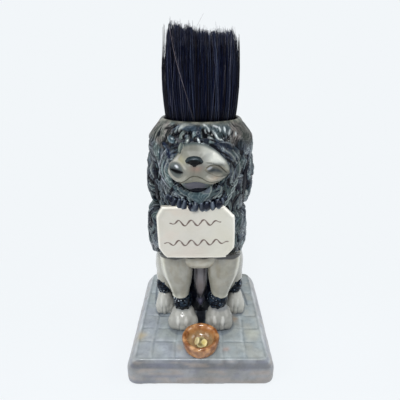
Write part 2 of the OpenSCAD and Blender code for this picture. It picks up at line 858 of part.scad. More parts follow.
module bristles() {
    n = strand_rings;
    disc = [for (r = [0:n]) for (k = [0:max(1, 6 * r) - 1]) disc_point(r, k)];
    places = concat(
        [for (r = [1:n]) for (s = [0:5]) for (i = [0:r - 1])
            [disc_index(r, s * r + i), disc_index(r, s * r + i + 1), disc_index(r - 1, s * (r - 1) + i)]],
        [for (r = [2:n]) for (s = [0:5]) for (i = [0:r - 2])
            [
                disc_index(r - 1, s * (r - 1) + i), disc_index(r, s * r + i + 1),
                disc_index(r - 1, s * (r - 1) + i + 1)
            ]]
    );
    d = len(disc);
    slab_z = root_z + slab_t;
    roots = [for (c = places)
        let (mid = (disc[c[0]] + disc[c[1]] + disc[c[2]]) / 3)
        each [for (v = c) lerp(mid, disc[v], strand_share)]];
    tips = [for (i = [0:len(roots) - 1])
        let (h = tip_z - root_z - tip_spread * hash(floor(i / 3)))
        [roots[i][0] * (1 + splay), roots[i][1] * (1 + splay), root_z + h]];
    rim = [for (k = [0:6 * n - 1]) disc_point(n, k)];
    points = concat(
        [for (p = disc) [p[0], p[1], slab_z]],
        [for (p = roots) [p[0], p[1], slab_z]],
        tips,
        [for (p = rim) [p[0], p[1], root_z]],
        [[0, 0, root_z]]
    );
    t = d + len(roots);
    b = t + len(tips);
    faces = concat(
        [for (i = [0:len(places) - 1]) for (e = [0:2])
            let (
                f = (e + 1) % 3, c = places[i],
                o0 = c[e], o1 = c[f], r0 = d + 3 * i + e, r1 = d + 3 * i + f
            )
            each [
                [o0, r1, o1], [o0, r0, r1],
                [r0, r0 + t - d, r1 + t - d], [r0, r1 + t - d, r1]
            ]],
        [for (i = [0:len(places) - 1]) [t + 3 * i, t + 3 * i + 2, t + 3 * i + 1]],
        [for (k = [0:6 * n - 1])
            let (k1 = (k + 1) % (6 * n), o0 = disc_index(n, k), o1 = disc_index(n, k1))
            each [[b + k, o0, o1], [b + k, o1, b + k1], [b + 6 * n, b + k, b + k1]]]
    );
    color(c_hair)
        translate([0, head_y, 0])
            polyhedron(points, faces, convexity = 10);
}

plinth();
torso();
haunch(-1);  // haunch_left
haunch(1);  // haunch_right
brisket();
foreleg(-1);  // foreleg_left
foreleg(1);  // foreleg_right
fore_bracelet(-1);  // fore_bracelet_left
fore_bracelet(1);  // fore_bracelet_right
forepaw(-1);  // forepaw_left
forepaw(1);  // forepaw_right
hind_bracelet(-1);  // hind_bracelet_left
hind_bracelet(1);  // hind_bracelet_right
hind_paw(-1);  // hind_paw_left
hind_paw(1);  // hind_paw_right
tail();
mane();
head();
ear(-1);  // ear_left
ear(1);  // ear_right
muzzle();
nose();
eyelids();
beard();
placard();
placard_cord();
bowl();
coins();
brush_stock();
bristle_cement();
bristles();
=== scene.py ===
import bpy
import math
import numpy as np
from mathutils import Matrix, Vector, noise


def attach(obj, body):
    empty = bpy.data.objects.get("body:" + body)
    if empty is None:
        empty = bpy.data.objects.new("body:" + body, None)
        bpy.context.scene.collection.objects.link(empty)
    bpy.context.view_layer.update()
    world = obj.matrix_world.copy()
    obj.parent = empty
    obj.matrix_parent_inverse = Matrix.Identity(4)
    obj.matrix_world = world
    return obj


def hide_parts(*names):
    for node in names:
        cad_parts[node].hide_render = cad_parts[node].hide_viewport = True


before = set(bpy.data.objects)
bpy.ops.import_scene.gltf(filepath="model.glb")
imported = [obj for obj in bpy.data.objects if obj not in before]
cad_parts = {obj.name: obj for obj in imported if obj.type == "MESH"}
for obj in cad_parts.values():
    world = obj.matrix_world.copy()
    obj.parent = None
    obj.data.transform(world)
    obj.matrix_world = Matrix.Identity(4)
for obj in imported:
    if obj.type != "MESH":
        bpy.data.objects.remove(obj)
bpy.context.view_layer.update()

# A glazed earthenware poodle on a paved plinth, with a bristle brush in its head.
# Lengths in this script are millimetres until a mesh is made, and x, y, z are the
# frame's axes: the dog faces -y. Left and right are as seen from in front.

# A millimetre in metres, and a metre in millimetres
MM = 0.001
METRE = 1000


# Small tools for arrays

def rgb(r, g, b):
    """Linear colour of a screen colour given as 0 to 255."""
    c = np.array([r, g, b]) / 255.0
    return np.where(c <= 0.04045, c / 12.92, ((c + 0.055) / 1.055) ** 2.4)


def smooth(v, low=0.0, high=1.0):
    """Eased step: 0 up to low, and 1 from high."""
    t = np.clip((np.asarray(v, float) - low) / (high - low), 0, 1)
    return t * t * (3 - 2 * t)


def bell(d):
    """1 at 0, falling away on both sides."""
    return np.exp(-d ** 2)


def mix(a, b, w):
    """Blend from a to b by w, which may be one share or one for each colour."""
    w = np.asarray(w, float)
    if w.ndim == 1 and (np.ndim(a) == 2 or np.ndim(b) == 2 or np.shape(a) == (3,)):
        w = w[:, None]
    return a * (1 - w) + b * w


def all_over(V, colour):
    return np.broadcast_to(colour, (len(V), 3))


def wave(v, n):
    """Signed power that squares off a circle's sine or cosine."""
    return np.sign(v) * np.abs(v) ** (2.0 / n)


def table(rows, t, c):
    """Column c of rows at station t, eased between the rows."""
    rows = np.asarray(rows, float)
    i = np.clip(np.searchsorted(rows[:, 0], t, side="right") - 1, 0, len(rows) - 2)
    u = np.clip((t - rows[i, 0]) / (rows[i + 1, 0] - rows[i, 0]), 0, 1)
    u = (u * u * (3 - 2 * u) + u) / 2
    return rows[i, c] * (1 - u) + rows[i + 1, c] * u


def grain(P, size, seed=0.0, octaves=3):
    """Smooth noise about 0 at each point, whose lumps are about size across."""
    shift = Vector((seed * 7.31, seed * 3.17, seed * 5.03))
    return np.array([
        noise.fractal(Vector(p) / size + shift, 1.0, 2.0, octaves) for p in P.tolist()
    ])


# Meshes as arrays: V holds points and F a list of faces

def join(parts):
    points, faces, start = [], [], 0
    for V, F in parts:
        points.append(V)
        faces += [tuple(i + start for i in f) for f in F]
        start += len(V)
    return np.vstack(points), faces


def tube_faces(n, m):
    """Faces between n rings of m points."""
    return [
        (i * m + j, i * m + (j + 1) % m, (i + 1) * m + (j + 1) % m, (i + 1) * m + j)
        for i in range(n - 1) for j in range(m)
    ]


def loft(rings):
    """Closed skin over rings of points that turn anticlockwise and climb or grow outwards."""
    rings = np.asarray(rings, float)
    n, m = rings.shape[:2]
    F = tube_faces(n, m)
    F += [(n * m, (j + 1) % m, j) for j in range(m)]
    F += [(n * m + 1, (n - 1) * m + j, (n - 1) * m + (j + 1) % m) for j in range(m)]
    return np.vstack([rings.reshape(-1, 3), rings[0].mean(0), rings[-1].mean(0)]), F


def between(front, rear):
    """Closed skin over the front and the rear of a pad, both grids of points."""
    return loft(np.concatenate([front, rear[:, ::-1]], axis=1))


def circle(n):
    return np.arange(n) * 2 * math.pi / n


def turned(profile, b, y):
    """Rings of a profile of radii and heights, turned about the upright line at x 0 and y."""
    return [
        np.stack([r * np.cos(b), y + r * np.sin(b), np.full(len(b), float(z))], 1)
        for r, z in profile
    ]


def rotated(V, degrees):
    """Points turned about x, then y, then z."""
    for axis, deg in enumerate(degrees):
        if deg:
            c, s = math.cos(math.radians(deg)), math.sin(math.radians(deg))
            i, j = [(1, 2), (2, 0), (0, 1)][axis]
            R = np.eye(3)
            R[i, i], R[i, j], R[j, i], R[j, j] = c, -s, s, c
            V = V @ R.T
    return V


def ball(centre, radii, turn=(0, 0, 0), rows=16):
    """Ellipsoid, turned by degrees about x, y and z."""
    lat = np.linspace(-90, 90, rows + 1)[1:-1]
    lon = np.arange(2 * rows) * 180.0 / rows
    rings = []
    for a in np.radians(lat):
        c = np.cos(a)
        rings.append([[c * math.cos(b), c * math.sin(b), math.sin(a)] for b in np.radians(lon)])
    V, F = loft(rings)
    V[-2] = [0, 0, -1]
    V[-1] = [0, 0, 1]
    V = rotated(V * np.array(radii, float), turn)
    return V + np.array(centre, float), F


def limb(points, radii, rows=10, steps=6):
    """Chain of balls along points, close enough to melt into one limb."""
    parts = []
    points = np.asarray(points, float)
    for i in range(len(points) - 1):
        for k in range(steps if i < len(points) - 2 else steps + 1):
            t = k / steps
            r = radii[i] * (1 - t) + radii[i + 1] * t
            parts.append(ball(points[i] * (1 - t) + points[i + 1] * t, (r, r, r), rows=rows))
    return join(parts)


def raw_mesh(name, V, F):
    me = bpy.data.meshes.new(name)
    me.from_pydata((V * MM).tolist(), [], F)
    me.validate()
    return me


def melt(shapes, voxel, rounds=6):
    """Shapes run together into one closed skin, as slip fills the joins."""
    V, F = join(shapes)
    me = raw_mesh("melt", V, F)
    ob = bpy.data.objects.new("melt", me)
    bpy.context.scene.collection.objects.link(ob)
    remesh = ob.modifiers.new("skin", "REMESH")
    remesh.mode = "VOXEL"
    remesh.voxel_size = voxel * MM
    even = ob.modifiers.new("even", "SMOOTH")
    even.iterations = rounds
    deps = bpy.context.evaluated_depsgraph_get()
    out = bpy.data.meshes.new_from_object(ob.evaluated_get(deps))
    V = np.empty(len(out.vertices) * 3)
    out.vertices.foreach_get("co", V)
    F = [tuple(p.vertices) for p in out.polygons]
    bpy.data.objects.remove(ob)
    bpy.data.meshes.remove(me)
    bpy.data.meshes.remove(out)
    return V.reshape(-1, 3) / MM, F


def normals(V, F):
    N = np.zeros_like(V)
    quads = np.array([f for f in F if len(f) == 4])
    tris = np.array([f for f in F if len(f) == 3])
    for G in (quads, tris):
        if len(G):
            a, b, c = V[G[:, 0]], V[G[:, 1]], V[G[:, 2]]
            n = np.cross(b - a, c - a)
            if G.shape[1] == 4:
                n += np.cross(c - a, V[G[:, 3]] - a)
            for k in range(G.shape[1]):
                np.add.at(N, G[:, k], n)
    return N / np.maximum(np.linalg.norm(N, axis=1), 1e-12)[:, None]


def pushed(V, F, by):
    """Points moved out along their normals."""
    return V + normals(V, F) * by[:, None]


def piece(name, V, F, C, material, body, node):
    """Object from arrays in millimetres that rides on a body and stands for a node."""
    me = raw_mesh(name, V, F)
    me.shade_smooth()
    if C is not None:
        layer = me.color_attributes.new("paint", "FLOAT_COLOR", "POINT")
        data = np.ones((len(V), 4))
        data[:, :3] = np.clip(C, 0, 1)
        layer.data.foreach_set("color", data.ravel())
    ob = bpy.data.objects.new(name, me)
    bpy.context.scene.collection.objects.link(ob)
    ob.data.materials.append(material)
    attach(ob, body)
    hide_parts(node)


def dressed(name, parts, material, body, node):
    """Piece joined from parts, each with its points, faces and colours."""
    V, F = join([(v, f) for v, f, c in parts])
    C = np.vstack([np.broadcast_to(c, (len(v), 3)) for v, f, c in parts])
    piece(name, V, F, C, material, body, node)


# Materials

def new_material(name):
    mat = bpy.data.materials.new(name)
    mat.use_nodes = True
    nodes = mat.node_tree.nodes
    return mat, nodes, mat.node_tree.links, nodes["Principled BSDF"]


def add(nodes, kind, values=None):
    """Shader node of a kind, with values for its sockets."""
    made = nodes.new("ShaderNode" + kind)
    for key, value in (values or {}).items():
        made.inputs[key].default_value = value
    return made


def noise_of(nodes, links, source, scale, detail, distort=0.0):
    """Output of a noise texture whose place comes from source."""
    made = add(nodes, "TexNoise", {"Scale": scale, "Detail": detail, "Distortion": distort})
    links.new(source, made.inputs["Vector"])
    return made.outputs["Fac"]


def two_tone(nodes, links, source, low, high, places=(0, 1)):
    """Colour that runs from low to high as source grows."""
    ramp = add(nodes, "ValToRGB")
    for stop, place, colour in zip(ramp.color_ramp.elements, places, (low, high)):
        stop.position = place
        stop.color = (*colour, 1)
    links.new(source, ramp.inputs["Fac"])
    return ramp.outputs["Color"]


def painted(nodes):
    """The piece's own painted colour."""
    paint = add(nodes, "Attribute")
    paint.attribute_name = "paint"
    return paint.outputs["Color"]


def glaze(name, mottle=(0.9, 1.1), spot=1.6, rough=(0.10, 0.24), bump=0.10, tint=None,
          shine=0.5, coat=0.25, index=1.5):
    """Fired glaze over the painted colour: mottled, slightly rippled and glossy. Its spots
    are some spot millimetres across, and a tint stains it in larger patches."""
    mat, nodes, links, shader = new_material(name)
    place = add(nodes, "TexCoord").outputs["Object"]
    cloud = noise_of(nodes, links, place, METRE / (4 * spot), 4.0, 0.6)
    fine = noise_of(nodes, links, place, METRE / (0.5 * spot), 3.0)
    spread = add(nodes, "MapRange", {
        "From Min": 0.3, "From Max": 0.7, "To Min": mottle[0], "To Max": mottle[1],
    })
    links.new(cloud, spread.inputs["Value"])
    value = add(nodes, "HueSaturation")
    links.new(painted(nodes), value.inputs["Color"])
    links.new(spread.outputs["Result"], value.inputs["Value"])
    colour = value.outputs["Color"]
    if tint is not None:
        stain = noise_of(nodes, links, place, METRE / (9 * spot), 5.0, 0.3)
        stained = two_tone(nodes, links, stain, (1, 1, 1), tint, (0.42, 0.66))
        blend = nodes.new("ShaderNodeMix")
        blend.data_type = "RGBA"
        blend.blend_type = "MULTIPLY"
        blend.inputs["Factor"].default_value = 1.0
        links.new(colour, blend.inputs["A"])
        links.new(stained, blend.inputs["B"])
        colour = blend.outputs["Result"]
    links.new(colour, shader.inputs["Base Color"])
    gloss = add(nodes, "MapRange", {"To Min": rough[0], "To Max": rough[1]})
    links.new(fine, gloss.inputs["Value"])
    links.new(gloss.outputs["Result"], shader.inputs["Roughness"])
    ripple = add(nodes, "Bump", {"Strength": bump, "Distance": 0.0006})
    links.new(cloud, ripple.inputs["Height"])
    links.new(ripple.outputs["Normal"], shader.inputs["Normal"])
    shader.inputs["IOR"].default_value = index
    shader.inputs["Specular IOR Level"].default_value = shine
    shader.inputs["Coat Weight"].default_value = coat
    shader.inputs["Coat Roughness"].default_value = 0.06
    return mat


def hair_material():
    mat, nodes, links, shader = new_material("bristle_hair")
    links.new(painted(nodes), shader.inputs["Base Color"])
    shader.inputs["Roughness"].default_value = 0.38
    shader.inputs["Specular IOR Level"].default_value = 0.16
    return mat


def plain_material(name, stretch, scale, detail, low, high, rough):
    """Unglazed material in two tones, whose noise is stretched along the axes."""
    mat, nodes, links, shader = new_material(name)
    place = add(nodes, "Mapping", {"Scale": stretch})
    links.new(add(nodes, "TexCoord").outputs["Object"], place.inputs["Vector"])
    speckle = noise_of(nodes, links, place.outputs["Vector"], scale, detail)
    links.new(two_tone(nodes, links, speckle, rgb(*low), rgb(*high)), shader.inputs["Base Color"])
    shader.inputs["Roughness"].default_value = rough
    return mat


# Glaze and material colours
NAVY = rgb(4, 7, 18)
SKIN = rgb(138, 137, 128)
PAW = rgb(166, 166, 160)
STONE = rgb(146, 155, 158)

DOWN = -math.pi / 2

# The dog's build, as in the part's source, with half the plinth's width and depth first
PLINTH_X = 33
PLINTH_Y = 34
PAVING = 12.8
TORSO_H = 33.0
MANE_H = 27.0
HEAD_H = 39.0
BODY_X = -0.6
BODY_Y = 6.0
HEAD_Y = 3.7
NECK = PAVING + TORSO_H + MANE_H
SEAM = math.tan(math.radians(23))
LANDING_Y = -16.4
MANE_X = -1.7
# Paws and cuffs further out than this are hind ones
HIND = 12


def seam_z(y):
    """Height of the mane's tilted lower edge."""
    return PAVING + TORSO_H - SEAM * (y - BODY_Y)


def dome(d):
    """Height of a round dome at a share d of its radius."""
    return np.sqrt(np.maximum(0, 1 - np.asarray(d, float) ** 2))


def hump(d):
    """Soft swelling that ends at a share d of 1."""
    return np.clip(1 - np.asarray(d, float) ** 2, 0, 1) ** 2


def apart(a, b):
    """Angle from b to a, between -180 and 180 degrees."""
    return (np.asarray(a, float) - b + 180) % 360 - 180


# Surfaces: each takes angles in degrees and heights, and gives points

HEAD_ROWS = [
    [0, 0.92, 0.85, 0.93], [0.2, 0.97, 0.96, 0.97], [0.45, 1, 1, 1],
    [0.8, 1, 1, 1], [1, 0.98, 0.98, 0.98],
]


def head_size(z):
    """Half the head's width and its reach forwards and back at height z, before its relief."""
    t = (z - NECK) / HEAD_H
    turn = np.clip((t - 0.8) / 0.2, 0, 1) ** 1.5
    return [
        full * table(HEAD_ROWS, t, c) * (1 - turn) + top * turn
        for c, full, top in ((1, 21.5, 17.1), (2, 20.5, 17.4), (3, 21.5, 17.4))
    ]


def head_at(a, z, off=0.0):
    a = np.radians(a)
    half, front, back = head_size(z)
    half = half + 1.5 * hump((z - 101) / 10) + off
    s = np.sin(a)
    y = HEAD_Y + s * np.where(s < 0, front + off, back + off)
    return np.stack([np.cos(a) * half, y, z], -1)


MANE_ROWS = [
    [0, 0.93, 0.80, 0.95], [0.25, 1, 0.99, 1], [0.6, 1, 1, 0.98],
    [0.88, 0.975, 0.95, 0.96], [1, 0.87, 0.83, 0.89],
]


def mane_at(a, h):
    """The mane, whose height h runs from 0 at its tilted lower edge to MANE_H."""
    a = np.radians(a)
    t = h / MANE_H
    c, s = np.cos(a), np.sin(a)
    half, front, back = (full * table(MANE_ROWS, t, i + 1) for i, full in enumerate((23.9, 23.4, 20.4)))
    raw = BODY_Y + wave(s, 2.3) * np.where(s < 0, front, back)
    y = np.maximum(raw, LANDING_Y + 0.1)
    return np.stack([MANE_X + wave(c, 2.3) * half, y, seam_z(y) * (1 - t) + NECK * t], -1)


TORSO_ROWS = [
    [0, 0.86, 0.80, 1], [0.3, 0.98, 1, 1], [0.6, 1, 1, 0.94],
    [1, 0.92, 0.90, 0.80], [1.4, 0.86, 0.80, 0.70],
]


def torso_at(a, z):
    a = np.radians(a)
    t = (z - PAVING) / TORSO_H
    c, s = np.cos(a), np.sin(a)
    half, front, back = (full * table(TORSO_ROWS, t, i + 1) for i, full in enumerate((15, 9, 18)))
    y = BODY_Y + wave(s, 2.3) * np.where(s < 0, front, back)
    return np.stack([BODY_X + wave(c, 2.3) * half, y, z], -1)


# Where an ear's middle is on the head for either side, and how far it reaches in degrees
EAR_MID = {1: 2, -1: 178}
EAR_REACH = 38
EAR_Z = 87


def ear_span(a, z, mid):
    """0 in the middle of an ear and 1 at its edge."""
    return np.hypot(apart(a, mid) / EAR_REACH, (z - EAR_Z) / np.where(z > EAR_Z, 13.6, 16.0))


def ear_at(side):
    mid = EAR_MID[side]
    low, high = (0.1, 1.5) if side > 0 else (1.0, 0.9)

    def place(a, z):
        full = 2.4 + low * smooth(-z, -92, -82) - high * smooth(z, 88, 99)
        return head_at(a, z, 0.4 + full * dome(ear_span(a, z, mid)) ** 0.8)
    return place


# The beard's middle on the head, in degrees
CHIN = -94


def beard_span(a, z):
    """0 in the middle of the beard and 1 at its edge."""
    return np.hypot(apart(a, CHIN) / 34, (z - 84) / 7.4)


def beard_at(a, z):
    return head_at(a, z, 0.6 + 3.9 * dome(beard_span(a, z)) ** 0.7)


def on(place, a, z, off):
    """Points off millimetres out from a surface, and the surface's normals there."""
    da = place(a + 0.3, z) - place(a - 0.3, z)
    dz = place(a, z + 0.05) - place(a, z - 0.05)
    N = np.cross(da, dz)
    N /= np.maximum(np.linalg.norm(N, axis=-1), 1e-9)[..., None]
    return place(a, z) + N * np.asarray(off)[..., None], N


# Fleece

def seeds_on(place, heights, gap, keep, rng):
    """Staggered seeds round a surface, a row for each height, as angles and heights."""
    out = []
    for i, z in enumerate(heights):
        ring = place(np.arange(0, 360, 4.0), np.full(90, float(z)))
        steps = np.linalg.norm(np.roll(ring, -1, 0) - ring, axis=1)
        total = steps.sum()
        n = max(6, int(round(total / gap)))
        want = ((np.arange(n) + 0.5 * (i % 2)) / n * total) % total
        a = np.interp(want, np.concatenate([[0], np.cumsum(steps)]), np.arange(0, 361, 4.0))
        mm = total / 360
        out += [(b + rng.normal(0, 0.3 * gap / mm / 2), z + rng.normal(0, 0.3 * gap / 2)) for b in a]
    out = np.array(out)
    return out[keep(out[:, 0], out[:, 1])]


LOCKS_ROUND = 20
LOCK_WAVE = 12.0


def furrow(a, h):
    """Depth of the wavy grooves between the locks, as in the source."""
    sway = np.radians(95 * np.sin(np.radians(360 * h / LOCK_WAVE + 2 * a)))
    across = 0.5 - 0.5 * np.cos(np.radians(LOCKS_ROUND * a) + sway)
    return across * (0.68 + 0.32 * np.sin(np.radians(300 * h / LOCK_WAVE + 5 * a)))


def heading(a, h, mm=0.4):
    """Direction downwards along the grooves, where a degree round is mm millimetres."""
    turn = np.radians(95) * np.cos(np.radians(360 * h / LOCK_WAVE + 2 * a))
    slope = -turn * (360 / LOCK_WAVE) / (LOCKS_ROUND + 2 * turn) * mm
    return np.arctan2(-1.0, -slope)


def swell(P, size, seed, n=8):
    """Smooth noise about 0 whose lumps are about size across, from crossing waves."""
    rng = np.random.default_rng(seed)
    out = 0.0
    for i in range(n):
        k = rng.normal(size=3)
        k *= math.pi / (size * rng.uniform(0.75, 1.35) * np.linalg.norm(k))
        out = out + np.sin(P @ k + rng.uniform(0, 2 * math.pi))
    return out * math.sqrt(2 / n)


def comb(place, a, z, way, seed, sizes=(1.15, 0.62, 0.36), reach=(2.6, 2.6, 1.5)):
    """Streaks that follow the heading way(P) over a grid of angles and heights. Each is
    about 0 with unit spread, from broad locks to fine hairs."""
    A, Z = np.meshgrid(a, z)
    rows, cols = A.shape
    ma = np.linalg.norm(place(A + 0.2, Z) - place(A - 0.2, Z), axis=-1) / 0.4 * (a[1] - a[0])
    mz = np.linalg.norm(place(A, Z + 0.1) - place(A, Z - 0.1), axis=-1) / 0.2 * (z[1] - z[0])
    theta = way(place(A, Z), A, Z)
    step = 0.2
    across = (np.cos(theta) * step / ma).ravel()
    along = (np.sin(theta) * step / mz).ravel()
    rng = np.random.default_rng(seed)
    fy = np.fft.fftfreq(rows)[:, None] / mz.mean()
    fx = np.fft.fftfreq(cols)[None] / ma.mean()
    speckle = [
        np.fft.ifft2(np.fft.fft2(rng.normal(size=(rows, cols)))
                     * np.exp(-2 * (math.pi * size / 2.7) ** 2 * (fx ** 2 + fy ** 2))).real.ravel()
        for size in sizes
    ]
    total = [np.zeros(rows * cols) for size in sizes]
    r0, c0 = np.meshgrid(np.arange(rows), np.arange(cols), indexing="ij")
    for sign in (1, -1):
        r, c = r0.ravel().astype(float), c0.ravel().astype(float)
        for i in range(int(max(reach) / step)):
            at = np.clip(np.rint(r), 0, rows - 1).astype(int) * cols + np.rint(c).astype(int) % cols
            for k, s in enumerate(speckle):
                if i * step < reach[k]:
                    total[k] += s[at]
            r += sign * along[at]
            c += sign * across[at]
    return [((t - t.mean()) / t.std()).reshape(rows, cols) for t in total]


def stroke(x, z, points, width, soft=0.22):
    """A brushed stroke through points, seen from the front: 1 inside it and 0 outside."""
    pts = np.array(points, float)
    if len(pts) > 2:
        t = np.arange(len(pts))
        fine = np.linspace(0, len(pts) - 1, 7 * (len(pts) - 1) + 1)
        pts = np.stack([np.interp(fine, t, pts[:, i]) for i in (0, 1)], 1)
        for _ in range(10):
            pts[1:-1] = (pts[:-2] + 2 * pts[1:-1] + pts[2:]) / 4
    out = np.zeros(np.shape(x))
    lo, hi = pts.min(0) - width / 2 - soft, pts.max(0) + width / 2 + soft
    near = np.nonzero((x > lo[0]) & (x < hi[0]) & (z > lo[1]) & (z < hi[1]))
    if not len(near[0]):
        return out
    Q = np.stack([np.asarray(x)[near], np.asarray(z)[near]], 1)
    length = np.concatenate([[0], np.cumsum(np.linalg.norm(np.diff(pts, axis=0), axis=1))])
    best = np.zeros(len(Q))
    for i in range(len(pts) - 1):
        e = pts[i + 1] - pts[i]
        t = np.clip(((Q - pts[i]) @ e) / max(e @ e, 1e-9), 0, 1)
        d = np.linalg.norm(Q - pts[i] - t[:, None] * e, axis=1)
        along = (length[i] + t * (length[i + 1] - length[i])) / length[-1]
        half = width / 2 * (0.45 + 0.55 * np.sin(math.pi * np.clip(along, 0.04, 0.96)) ** 0.6)
        best = np.maximum(best, smooth(half - d, -soft, soft))
    out[near] = best
    return out


def brushed(P, off, C, marks):
    """Brushes marks onto a skin: each has a rise, a colour, a width and its points."""
    x, y, z = np.moveaxis(P, -1, 0)
    before = smooth(-y, -1, 3)
    for rise, colour, width, points in marks:
        w = stroke(x, z, points, width, 0.22 if width < 1 else 0.35) * before
        off = off + rise * w
        C = mix(C, rgb(*colour), w.reshape(-1))
    return off, C


def none(P):
    """Nothing at any point of a grid."""
    return np.zeros(P.shape[:-1])


def fleece_skin(place, a, z, way, seed, furrows, gloom=none, calm=none, sink=none, marks=()):
    """Relief of combed fleece on a surface, as offsets and a painted colour on its grid.
    Gloom darkens it, calm flattens it to a plain taupe coat and sink lowers it."""
    A, Z = np.meshgrid(a, z)
    P = place(A, Z)
    flat = P.reshape(-1, 3)
    broad, mid, fine = comb(place, a, z, way, seed)
    dark = 0.45 * swell(flat, 7.0, seed + 500).reshape(A.shape) + gloom(P)
    still = calm(P)
    carve = furrows(P, A, Z)
    level = broad - dark - 0.8 * (carve - 0.4)
    pit = smooth(-level, 0.75, 1.15)
    shade = smooth(-level, -0.5, 0.8)
    line = bell((mid - 0.5) / 0.24) + 0.6 * bell((mid + 0.9) / 0.18)
    line = line * (1 - pit) * smooth(swell(flat, 2.6, seed + 800).reshape(A.shape), -1.2, 0.4)
    off = 0.06 - 0.4 * (0.9 * pit + 0.4 * shade) * (1 - 0.6 * still)
    off = off + (1 - 0.5 * still) * (0.15 * line + 0.05 * fine) - 0.5 * carve
    off = off - sink(P)
    f = np.ravel
    x, z = P[..., 0], P[..., 2]
    hue = smooth(swell(flat, 5.0, seed + 600), -0.6, 0.6)
    tone = swell(flat, 3.2, seed + 700)
    C = mix(rgb(78, 94, 94), rgb(82, 90, 98), hue) * (1 + 0.2 * np.clip(tone, -1.5, 1.5))[:, None]
    C = mix(C, rgb(28, 42, 60), f(0.9 * shade))
    C = mix(C, rgb(176, 186, 186), f(np.clip(0.85 * line * (1 - 0.5 * shade), 0, 1)))
    C = mix(C, rgb(2, 5, 16), f(pit))
    C = C * (1 + 0.34 * f(np.clip(fine, -1.6, 1.6)))[:, None]
    coat = mix(rgb(36, 37, 34), rgb(122, 116, 113), smooth(f(0.9 * fine + 0.6 * mid), -1.3, 1.3))
    coat = mix(coat, rgb(74, 84, 78), 0.5 * hue)
    coat = mix(coat, rgb(14, 20, 24), smooth(-f(broad), 1.2, 1.6))
    coat = mix(coat, rgb(150, 146, 140), 0.5 * f(line)) * (1 + 0.55 * f(smooth(-x, 4, 12)))[:, None]
    C = mix(C, coat, f(still)) * 0.74
    off, C = brushed(P, off, C, marks)
    # Painted light and shade by side: darker right of the middle and at the far left, lighter at the far
    # right and high up in the middle and on the left
    sides = 0.16 * smooth(x, 4, 12) * smooth(-x, -21, -18) + 0.2 * smooth(-x, 17.4, 19.4)
    sides = sides - 0.16 * smooth(x, 17.4, 19.4) - 0.12 * smooth(z, 101, 106) * smooth(-x, 6, 10)
    C = C * (0.9 - f(sides))[:, None]
    return off, C * (1 + 0.16 * f(np.clip(fine, -1.5, 1.5)))[:, None]


def flow(seed, strength, base=0.0, size=4.6):
    """Heading along the grooves above a base height, with a further wave of its own."""
    def way(P, a, h):
        extra = strength * swell(P.reshape(-1, 3), size, seed).reshape(P.shape[:-1])
        return heading(a, h - base) + extra
    return way


